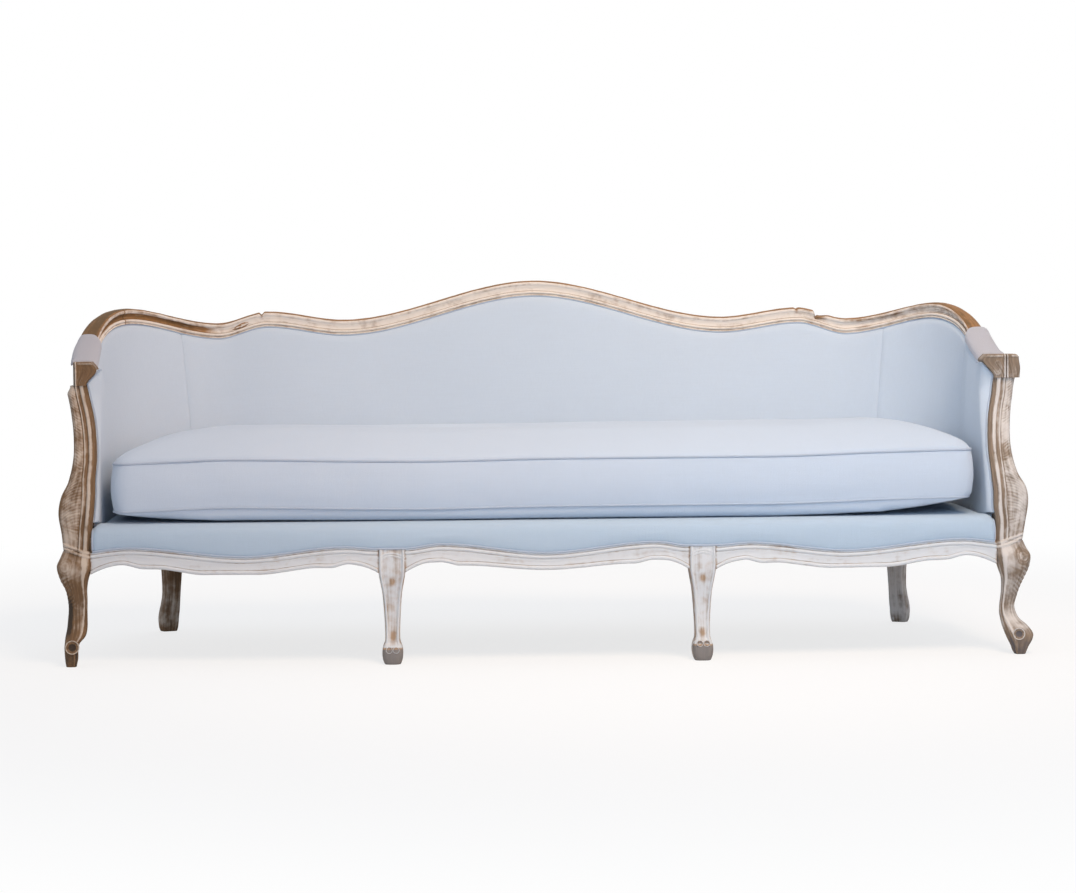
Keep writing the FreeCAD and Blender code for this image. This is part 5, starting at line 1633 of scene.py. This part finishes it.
@dataclass(frozen=True)
class FrontBorder:
    """Rolled border over the front rail, and the deck behind it."""

    gap: float = 0.0004
    rebate: float = 0.012
    web: float = 0.002
    pitch: float = 0.008
    shoulder: float = 0.02
    side_gap: float = 0.0074

    def section(self, x: float) -> Ring:
        """Rounded section across the border."""
        face, low = PLAN.front_face(x), PLAN.rail_high(x) + self.gap
        short = max(0.0, self.shoulder - (PLAN.border_end - abs(x)))
        top = PLAN.deck_top - self.shoulder + sqrt(self.shoulder ** 2 - min(short, 0.999 * self.shoulder) ** 2)
        back, rear = self.rebate - self.gap, PLAN.border_depth
        seat = PLAN.seat_rail_top + self.web + self.gap
        drawn = 0.004 * fade(0.0, 0.01, PLAN.border_end - abs(x))
        rows = [(back, low), (0.0055, low), (0.0028, low + 0.0018), (0.0008, low + 0.006), (-0.0008, low + 0.012)]
        rows += [(-0.0012 - 0.0012 * sin(pi * share), low + 0.014 + (top - low - 0.04) * share)
                 for share in (0.2, 0.4, 0.6, 0.8, 1.0)]
        rows += [(0.0, top - 0.02), (0.003, top - 0.014), (0.0075, top - 0.0088), (0.013, top - 0.005),
                 (0.02, top - 0.002), (0.028, top - 0.0004), (0.036, top)]
        rows += [(0.036 + (rear - 0.036) * share, top) for share in (0.25, 0.5, 0.75, 1.0)]
        rows += [(rear, seat), (back, seat)]
        ring = []
        for y, z in rows:
            soft = 0.001 * ripple(Vector((x, 0.0, z)), 7.0, 3.0) if y < 0.01 and z > low + 0.003 else 0.0
            inner = drawn * fade(0.0, 0.03, y) if y < back else 0.0
            ring.append(PLAN.place(x, face + y + soft + inner, z))
        return ring

    def build(self, cloth: Finish, deck_cloth: Finish, cord: Finish, trims: PathTrims) -> None:
        """Makes the border, its piping and the deck."""
        near = PLAN.border_end - self.shoulder
        rows = spaced(-near, near, self.pitch)
        turn = [near + self.shoulder * sin(t) for t in spaced(0.18, pi / 2.0, 0.18)]
        rings = [self.section(x) for x in [-x for x in reversed(turn)] + rows + turn]
        border = fitted(skin("border_cover", rings, None, 60.0), ["front_border"], finish=cloth)
        bottom = [PLAN.place(x, PLAN.front_face(x) + 0.0012, PLAN.rail_high(x) + 0.0026)
                  for x in spaced(-PLAN.border_end + 0.002, PLAN.border_end - 0.002, 0.006)]
        ends = []
        for hand in (-1.0, 1.0):
            x = hand * (PLAN.border_end - 0.0016)
            ends.append([p + Vector((0.0, -0.0012, 0.0005)) for p in self.section(x)[3:20]])
        fitted(trims.lay("border_piping", [bottom] + ends, 0.0024, 0.004, cord))
        self.deck(deck_cloth)

    def outline(self, inset: float, z: float) -> Ring:
        """Level outline of the deck, drawn in by an inset."""
        side_in = PLAN.arm_pad + self.side_gap
        back_in = PLAN.back_lean + PLAN.back_pad + self.side_gap
        arm_x = PLAN.arm_line - side_in - inset
        back_y = PLAN.back_line - back_in - inset
        radius = PLAN.corner_radius - (side_in + back_in) / 2.0 - inset
        bend_x, bend_y = arm_x - radius, back_y - radius
        points = [(x, PLAN.front_face(x) + PLAN.border_depth + self.gap + inset)
                  for x in spaced(-arm_x, arm_x, arm_x / 56.0)]
        arc = spaced(0.0, pi / 2.0, 0.09)
        points += [(bend_x + radius * cos(t), bend_y + radius * sin(t)) for t in arc]
        points += [(-bend_x - radius * sin(t), bend_y + radius * cos(t)) for t in arc]
        return [PLAN.place(x, y, z) for x, y in points]

    def deck(self, cloth: Finish) -> None:
        """Flat padded deck that the cushion lies on."""
        low = PLAN.seat_rail_top + self.web + self.gap
        rows = [(low, 0.002), (low + 0.004, 0.0), (PLAN.deck_top - 0.008, 0.0),
                (PLAN.deck_top - 0.003, 0.0015), (PLAN.deck_top - 0.0006, 0.005),
                (PLAN.deck_top, 0.012), (PLAN.deck_top, 0.06)]
        rings = [self.outline(inset, z) for z, inset in rows]
        piece = fitted(skin("deck_cover", rings, None, 60.0), ["deck_pad"], finish=cloth)


@dataclass(frozen=True)
class BenchCushion:
    """Loose bench cushion with a welt above and below its band."""

    half: float = 1.08
    front: float = 0.066
    rear: float = 0.652
    corner: float = 0.225
    nose: float = 0.045
    base: float = 0.3504
    welt_low: float = 0.384
    welt_top: float = 0.503
    crown: float = 0.562
    dome: float = 0.25
    hollow: float = 0.008
    bow: float = 0.004
    voxel: float = 0.0125
    swell: float = 0.013
    pressure: float = 4.0
    welt_radius: float = 0.0029
    end_lift: float = 0.8

    def level(self, z: float, inset: float, dense: int = 1) -> Ring:
        """Level outline at a height, drawn in by an inset."""
        half, middle = self.half - inset, (self.front + self.rear) / 2.0
        deep = (self.rear - self.front) / 2.0 - inset
        nose = max(0.012, self.nose - 0.3 * inset)
        tail = min(self.corner - 0.6 * inset, 0.95 * deep)
        points: list[tuple[float, float]] = []
        for k, (side, end, radius) in enumerate(((1, -1, nose), (1, 1, tail), (-1, 1, tail), (-1, -1, nose))):
            centre = (side * (half - radius), end * (deep - radius))
            for turn in spaced((k - 1) * pi / 2.0, k * pi / 2.0, 0.15 / dense):
                points.append((centre[0] + radius * cos(turn), centre[1] + radius * sin(turn)))
            if k % 2:
                points += [(side * (half - tail) * share, end * (deep + self.bow * (1.0 - share * share)))
                           for share in spaced(0.97, -0.97, 0.05 / dense)]
        rise = self.end_lift * max(0.0, self.welt_low - z)
        level = [z + rise * ease(self.half - 0.16, self.half - 0.02, abs(x)) - self.dip(x) for x, _ in points]
        return [PLAN.place(x, middle + y, max(self.base, high)) for (x, y), high in zip(points, level)]

    def dip(self, x: float) -> float:
        """How far the sat-on cushion has sunk at a place: the left end hangs, the right end stands up."""
        return (0.006 * ease(0.9, 1.07, -x) + 0.004 * hump(-0.3, 0.35, x)
                - 0.004 * hump(-0.8, 0.3, x) - 0.011 * ease(0.55, 1.0, x))

    def shape(self) -> Piece:
        """Shape as cut and sewn, before it is filled."""
        under, band = self.welt_low - self.base, self.welt_top - self.welt_low
        slack = 0.003
        rows = [(self.base, 0.016 + slack), (self.base + 0.08 * under, 0.008 + slack),
                (self.base + 0.3 * under, 0.0025 + slack), (self.base + 0.6 * under, 0.0035),
                (self.welt_low, 0.004)]
        for share in (0.12, 0.3, 0.5, 0.7, 0.88):
            rows.append((self.welt_low + band * share, 0.004 - self.hollow * sin(pi * share)))
        for share in spaced(0.0, 1.0, 0.07):
            rise, fall = sin(share * pi / 2.0), 1.0 - cos(share * pi / 2.0)
            rows.append((self.welt_top + (self.crown - self.welt_top) * rise, 0.004 + self.dome * fall))
        return skin("cushion_cover", [self.level(z, inset) for z, inset in rows], None, 60.0)

    def remesh(self, piece: Piece) -> None:
        """Turns the shape into one even mesh."""
        modifier = piece.modifiers.new("even", "REMESH")
        modifier.mode = "VOXEL"
        modifier.voxel_size = self.voxel
        bake(piece)

    def hold(self, point: Vector) -> float:
        """How firmly cloth is held at a point: at the welts and where the cushion rests."""
        sewn = point.z + self.dip(point.x)
        welts = max(hump(self.welt_low, 0.016, sewn), hump(self.welt_top, 0.016, sewn))
        rest = fade(self.base + 0.002, self.base + 0.01, point.z)
        inner = self.level(point.z, 0.03)
        outside = abs(point.x) > inner[0].x or point.y < inner[0].y or point.z < self.welt_top
        return max(rest, welts if outside else 0.0)

    def fill(self, piece: Piece) -> None:
        """Blows the cover up as cloth under pressure, held at the welts and the base."""
        start = [vertex.co.copy() for vertex in piece.data.vertices]
        group = piece.vertex_groups.new(name="held")
        for vertex in piece.data.vertices:
            group.add([vertex.index], self.hold(vertex.co), "REPLACE")
        modifier = piece.modifiers.new("cloth", "CLOTH")
        settings = modifier.settings
        settings.quality = 6
        settings.mass = 0.3
        settings.tension_stiffness = settings.compression_stiffness = 18.0
        settings.shear_stiffness = 8.0
        settings.bending_stiffness = 2.5
        settings.air_damping = 3.0
        settings.use_pressure = True
        settings.uniform_pressure_force = self.pressure
        settings.vertex_group_mass = group.name
        settings.effector_weights.gravity = 0.0
        modifier.collision_settings.use_collision = False
        modifier.collision_settings.use_self_collision = False
        scene = bpy.context.scene
        for step in range(1, 21):
            scene.frame_set(step)
        bake(piece)
        scene.frame_set(1)
        places: list[Vector] = []
        for vertex, place in zip(piece.data.vertices, start):
            move = vertex.co - place
            places.append(place + move * min(1.0, self.swell / max(move.length, 1e-6)))
        piece.data.vertices.foreach_set("co", flat_list(places))

    def soften(self, piece: Piece) -> None:
        """One subdivision and the slight lumps of a feather filling."""
        modifier = piece.modifiers.new("smooth", "SUBSURF")
        modifier.levels = modifier.render_levels = 1
        bake(piece)
        places: list[Vector] = []
        for vertex in piece.data.vertices:
            spot = vertex.co
            above = ease(self.base + 0.004, self.base + 0.03, spot.z)
            lumps = 0.0026 * ripple(spot, 3.2, 11.0) + 0.0012 * ripple(spot, 11.0, 5.0)
            places.append(spot + vertex.normal * (lumps * above))
        piece.data.vertices.foreach_set("co", flat_list(places))
        piece.data.shade_smooth()

    def welts(self, piece: Piece, cord: Finish, trims: PathTrims) -> Piece:
        """Cord round the cushion above and below its band."""
        mesh = piece.data
        tree = BVHTree.FromPolygons([v.co for v in mesh.vertices], [tuple(p.vertices) for p in mesh.polygons])
        loops = []
        for z in (self.welt_low, self.welt_top):
            loop = []
            inner, outer = self.level(z, 0.05, 4), self.level(z, -0.05, 4)
            for near, far in zip(inner, outer):
                hit = tree.ray_cast(far, (near - far).normalized(), 0.2)[0]
                out = (far - near).normalized()
                loop.append((hit if hit is not None else (near + far) / 2.0) + out * 0.0008)
            loops.append(loop)
        return trims.lay("cushion_welts", loops, self.welt_radius, 0.004, cord, loop=True)

    def build(self, cloth: Finish, cord: Finish, trims: PathTrims) -> None:
        """Makes the cushion and its welts."""
        piece = self.shape()
        self.remesh(piece)
        self.fill(piece)
        self.soften(piece)
        welts = self.welts(piece, cord, trims)
        fitted(piece, ["seat_cushion"], CUSHION_BODY, cloth)
        fitted(welts, (), CUSHION_BODY)


# Under the seat and inside the frame

@dataclass(frozen=True)
class Webbing:
    """Jute webbing with a dark line near each edge."""

    name: str
    axis: int
    first: float
    pitch: float

    def material(self) -> Finish:
        """Coarse weave, with lines at an even distance from each strap's middle."""
        shader = Shader(self.name)
        at = shader.coordinates("Object", (1.0, 1.0, 1.0))
        x, y, z = (shader.add("ShaderNodeSeparateXYZ", {}, {0: at}, i) for i in range(3))
        turn = 2.0 * pi / 0.0028
        weave = (x * turn).sine() * ((y + z) * turn).sine()
        across = (x, y, z)[self.axis] - self.first
        away = shader.add("ShaderNodeMath", {"operation": "PINGPONG"}, {0: across, 1: self.pitch / 2.0})
        line = away.between(0.0165, 0.0175) * (1.0 - away.between(0.0195, 0.0205))
        fibre = shader.cloud(at, 240.0, 3.0)
        jute = shader.mix((weave * 0.35 + fibre).between(0.2, 0.9), colour("8C7350"), colour("C0A67C"))
        shader.feed("Base Color", shader.mix(line * 0.8, jute, colour("5C3A2C")))
        shader.feed("Roughness", 0.92)
        shader.feed("Normal", shader.bump(weave * 0.4 + fibre, 0.6, 0.0012))
        return shader.material


@dataclass(frozen=True)
class Underside:
    """Dust cover with its tacks, webbing and inner frame, whose CAD shapes stay."""

    tack_inset: float = 0.012

    def dress(self, node: str, finish: Finish) -> None:
        """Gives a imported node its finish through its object's slots."""
        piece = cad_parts[node]
        for slot in piece.material_slots:
            slot.link = "OBJECT"
            slot.material = finish
        LOG.info("%s: dressed with %s", node, finish.name)

    def build(self, wood: Finish, lining: Finish, tack: Finish, trims: PathTrims) -> None:
        """Dresses the hidden pieces and adds the tacks."""
        for node in ("seat_cross_rail", "back_upright_inner", "back_upright_outer", "corner_block"):
            for side in Side:
                self.dress(node + "_" + side.word, wood)
        self.dress("seat_webbing_deep", Webbing("webbing_deep", 0, 0.0, (PLAN.back_run - 0.05) / 7.0).material())
        first = PLAN.place(0.0, 0.172, 0.0).y
        self.dress("seat_webbing_long", Webbing("webbing_long", 1, first,
                                                (PLAN.corner_centre - 0.172) / 3.0).material())
        step = (PLAN.crest_bottom(0.52) - PLAN.deck_top) / 4.0
        self.dress("back_webbing", Webbing("webbing_back", 2, PLAN.deck_top, step).material())
        self.dress("dust_cover", lining)
        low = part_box("dust_cover")[0].z
        edge = PLAN.seat_rail_thick / 2.0 + self.tack_inset
        rows = []
        reach = PLAN.arm_rear - 0.02
        rows.append([PLAN.on_line(s, PLAN.lean(s, low) + edge, low) for s in spaced(-reach, reach, 0.02)])
        lowest = PLAN.middle_leg_x + PLAN.middle_leg_width / 2.0 + 0.02
        for a, b in ((-1.02, -lowest), (0.04 - PLAN.middle_leg_x, PLAN.middle_leg_x - 0.04), (lowest, 1.02)):
            rows.append([PLAN.place(x, PLAN.front_face(x) + 0.045 + self.tack_inset, low)
                         for x in spaced(a, b, 0.02)])
        fitted(trims.lay("dust_cover_tacks", rows, 0.0034, 0.045, tack, tacks=True))


@dataclass(frozen=True)
class PlainCloth:
    """Dull lining cloth."""

    name: str
    tone: Colour

    def material(self) -> Finish:
        """Fine weave on Object coordinates."""
        shader = Shader(self.name)
        at = shader.coordinates("Object", (1.0, 1.0, 1.0))
        fine = shader.cloud(at, 700.0, 2.0)
        broad = shader.cloud(at, 9.0, 4.0)
        shade = (fine * 0.5 + broad * 0.5).between(0.35, 0.65)
        shader.feed("Base Color", shader.mix(shade, toned(self.tone, 0.7), self.tone))
        shader.feed("Roughness", 0.92)
        shader.feed("Normal", shader.bump(fine, 0.4, 0.0006))
        return shader.material


@dataclass(frozen=True)
class BluedSteel:
    """Dark tack heads."""

    name: str

    def material(self) -> Finish:
        """Dark metal with a few brighter spots."""
        shader = Shader(self.name)
        spots = shader.cloud(shader.coordinates("Object", (1.0, 1.0, 1.0)), 300.0, 2.0)
        shader.feed("Base Color", shader.mix(spots.between(0.4, 0.7), colour("2E3136"), colour("6A6D70")))
        shader.feed("Metallic", 0.85)
        shader.feed("Roughness", 0.35 + spots * 0.3)
        return shader.material


# Studio

@dataclass(frozen=True)
class Studio:
    """White floor and backdrop, soft light and the camera of the photograph."""

    place: tuple[float, float, float] = (-0.2893, -6.9125, 0.9007)
    yaw: float = 2.353
    pitch: float = -3.202
    roll: float = -0.446
    focal_pixels: float = 2645.49
    sensor: float = 36.0
    reach: float = 14.0
    key: float = 26.0
    fill: float = 5.2
    side_fill: float = 0.6
    wing_fill: float = 0.55
    rear: float = 30.0
    ambient: float = 0.54

    def camera(self) -> None:
        """Camera at the photograph's place and angle."""
        data = bpy.data.cameras.new("photo_camera")
        data.sensor_fit = "HORIZONTAL"
        data.sensor_width = self.sensor
        data.lens = self.focal_pixels * self.sensor / PHOTO_WIDTH
        yaw, pitch, roll = (radians(v) for v in (self.yaw, self.pitch, self.roll))
        forward = Vector((sin(yaw) * cos(pitch), cos(yaw) * cos(pitch), sin(pitch)))
        right = Vector((cos(yaw), -sin(yaw), 0.0))
        upward = right.cross(forward)
        across = right * cos(roll) + upward * sin(roll)
        over = upward * cos(roll) - right * sin(roll)
        turn = Matrix((across, over, -forward)).transposed().to_4x4()
        camera = linked("photo_camera", data)
        camera.matrix_world = Matrix.Translation(Vector(self.place)) @ turn
        bpy.context.scene.camera = camera

    def world(self) -> None:
        """White to the camera and in reflections, softer as light."""
        world = bpy.data.worlds.new("studio_world")
        bpy.context.scene.world = world
        world.use_nodes = True
        nodes = Nodes(world.node_tree)
        ambient = nodes.add("ShaderNodeBackground", {}, {"Color": colour("EEF3FF"), "Strength": self.ambient})
        white = nodes.add("ShaderNodeBackground", {}, {"Color": colour("FFFFFF")})
        seen = nodes.add("ShaderNodeLightPath", {}, {}, "Is Camera Ray")
        for ray in ("Is Glossy Ray", "Is Transmission Ray"):
            other = nodes.add("ShaderNodeLightPath", {}, {}, ray)
            seen = nodes.add("ShaderNodeMath", {"operation": "MAXIMUM"}, {0: seen, 1: other})
        mixed = nodes.add("ShaderNodeMixShader", {}, {0: seen, 1: ambient, 2: white})
        nodes.add("ShaderNodeOutputWorld", {}, {0: mixed})

    def floor(self) -> None:
        """Wide white floor that keeps the soft shadow."""
        shader = Shader("studio_floor")
        shader.feed("Base Color", colour("F6F6F6"))
        shader.feed("Roughness", 0.9)
        shader.feed("Specular IOR Level", 0.1)
        shader.feed("Emission Color", colour("FFFFFF"))
        seen = shader.add("ShaderNodeLightPath", {}, {}, "Is Camera Ray")
        where = shader.coordinates("Object", (1.0, 1.0, 1.0))
        far = shader.add("ShaderNodeVectorMath", {"operation": "LENGTH"}, {0: where}, "Value").between(1.4, 3.4)
        glow = shader.add("ShaderNodeEmission", {}, {"Strength": 1.0})
        lit = Link(shader, shader.surface.outputs[0])
        mixed = shader.add("ShaderNodeMixShader", {}, {0: seen * (far * 0.25 + 0.75), 1: lit, 2: glow})
        shader.tree.links.new(mixed.socket, shader.output.inputs[0])
        r = self.reach
        mesh = bpy.data.meshes.new("studio_floor")
        mesh.from_pydata([(-r, -r, 0.0), (r, -r, 0.0), (r, r, 0.0), (-r, r, 0.0)], [], [(0, 1, 2, 3)])
        mesh.materials.append(shader.material)
        linked("studio_floor", mesh)

    def lamp(self, name: str, place: tuple[float, float, float], aim: tuple[float, float, float],
             size: float, power: float, tint: Colour, spread: float = 180.0) -> None:
        """One soft area lamp."""
        data = bpy.data.lights.new(name, "AREA")
        data.shape = "SQUARE"
        data.size = size
        data.energy = power
        data.spread = radians(spread)
        data.color = tint[:3]
        lamp = linked(name, data)
        lamp.location = place
        lamp.rotation_euler = (Vector(aim) - Vector(place)).to_track_quat("-Z", "Y").to_euler()

    def build(self) -> None:
        """Sets up the whole studio."""
        self.camera()
        self.world()
        self.floor()
        self.lamp("key_lamp", (1.2, -2.8, 4.6), (0.35, 0.0, 0.4), 2.0, self.key, colour("FFE4C8"), 60.0)
        self.lamp("front_lamp", (1.0, -5.0, 1.6), (0.6, 0.0, 0.4), 2.5, self.fill, colour("C4E0FF"), 60.0)
        self.lamp("wing_lamp", (-1.4, -4.4, 1.6), (1.2, 0.1, 0.55), 1.0, self.wing_fill, colour("D4E8FF"), 22.0)
        self.lamp("side_lamp", (1.6, -3.2, 1.6), (-1.2, 0.1, 0.6), 1.0, self.side_fill, colour("FFB87C"), 24.0)
        self.lamp("rear_lamp", (0.5, 4.5, 3.5), (0.0, 0.0, 0.5), 3.5, self.rear, colour("FFFFFF"))
        bpy.context.scene.view_settings.view_transform = "Standard"


def main() -> None:
    """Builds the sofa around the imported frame, then the studio."""
    logging.basicConfig(level=logging.INFO, format="%(message)s")
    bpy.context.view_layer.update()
    trims = PathTrims()
    crest, pale, inner_wood = CREST_WOOD.material(), PALE_WOOD.material(), INNER_WOOD.material()
    # The left-hand pieces take the darker copy, which carries the painted shade of the dim left end.
    woods = {Side.LEFT: SHADED_WOOD.material(), Side.RIGHT: CARVED_WOOD.material()}
    # seat_cloth and border_cloth, which also covers the deck, are copies of the back's linen with painted cool
    # shade.
    back_cloth, seat_cloth = BACK_LINEN.material(), CUSHION_LINEN.material()
    border_cloth, cord = BORDER_LINEN.material(), PIPING_LINEN.material()
    supports, rails = ArmSupports(), ArmRails()
    CrestRails().build(crest)
    # The pads' linen is a greyer copy with painted shade.
    rails.build(woods, PAD_LINEN.material(), trims)
    supports.build(woods)
    SlipTenons(supports).build(inner_wood)
    CornerLegs().build(woods)
    MiddleLegs().build(pale)
    RearLegs().build(woods)
    FrontRails().build(pale)
    # All three seat rails take the left-hand copy with its painted shade.
    SeatRails().build(woods[Side.LEFT])
    Covers(supports, rails).build(back_cloth, cord, trims)
    FrontBorder().build(border_cloth, border_cloth, cord, trims)
    BenchCushion().build(seat_cloth, cord, trims)
    Underside().build(inner_wood, PlainCloth("lining", colour("55524E")).material(),
                          BluedSteel("tack_steel").material(), trims)
    Studio().build()


if __name__ == "__main__":
    main()
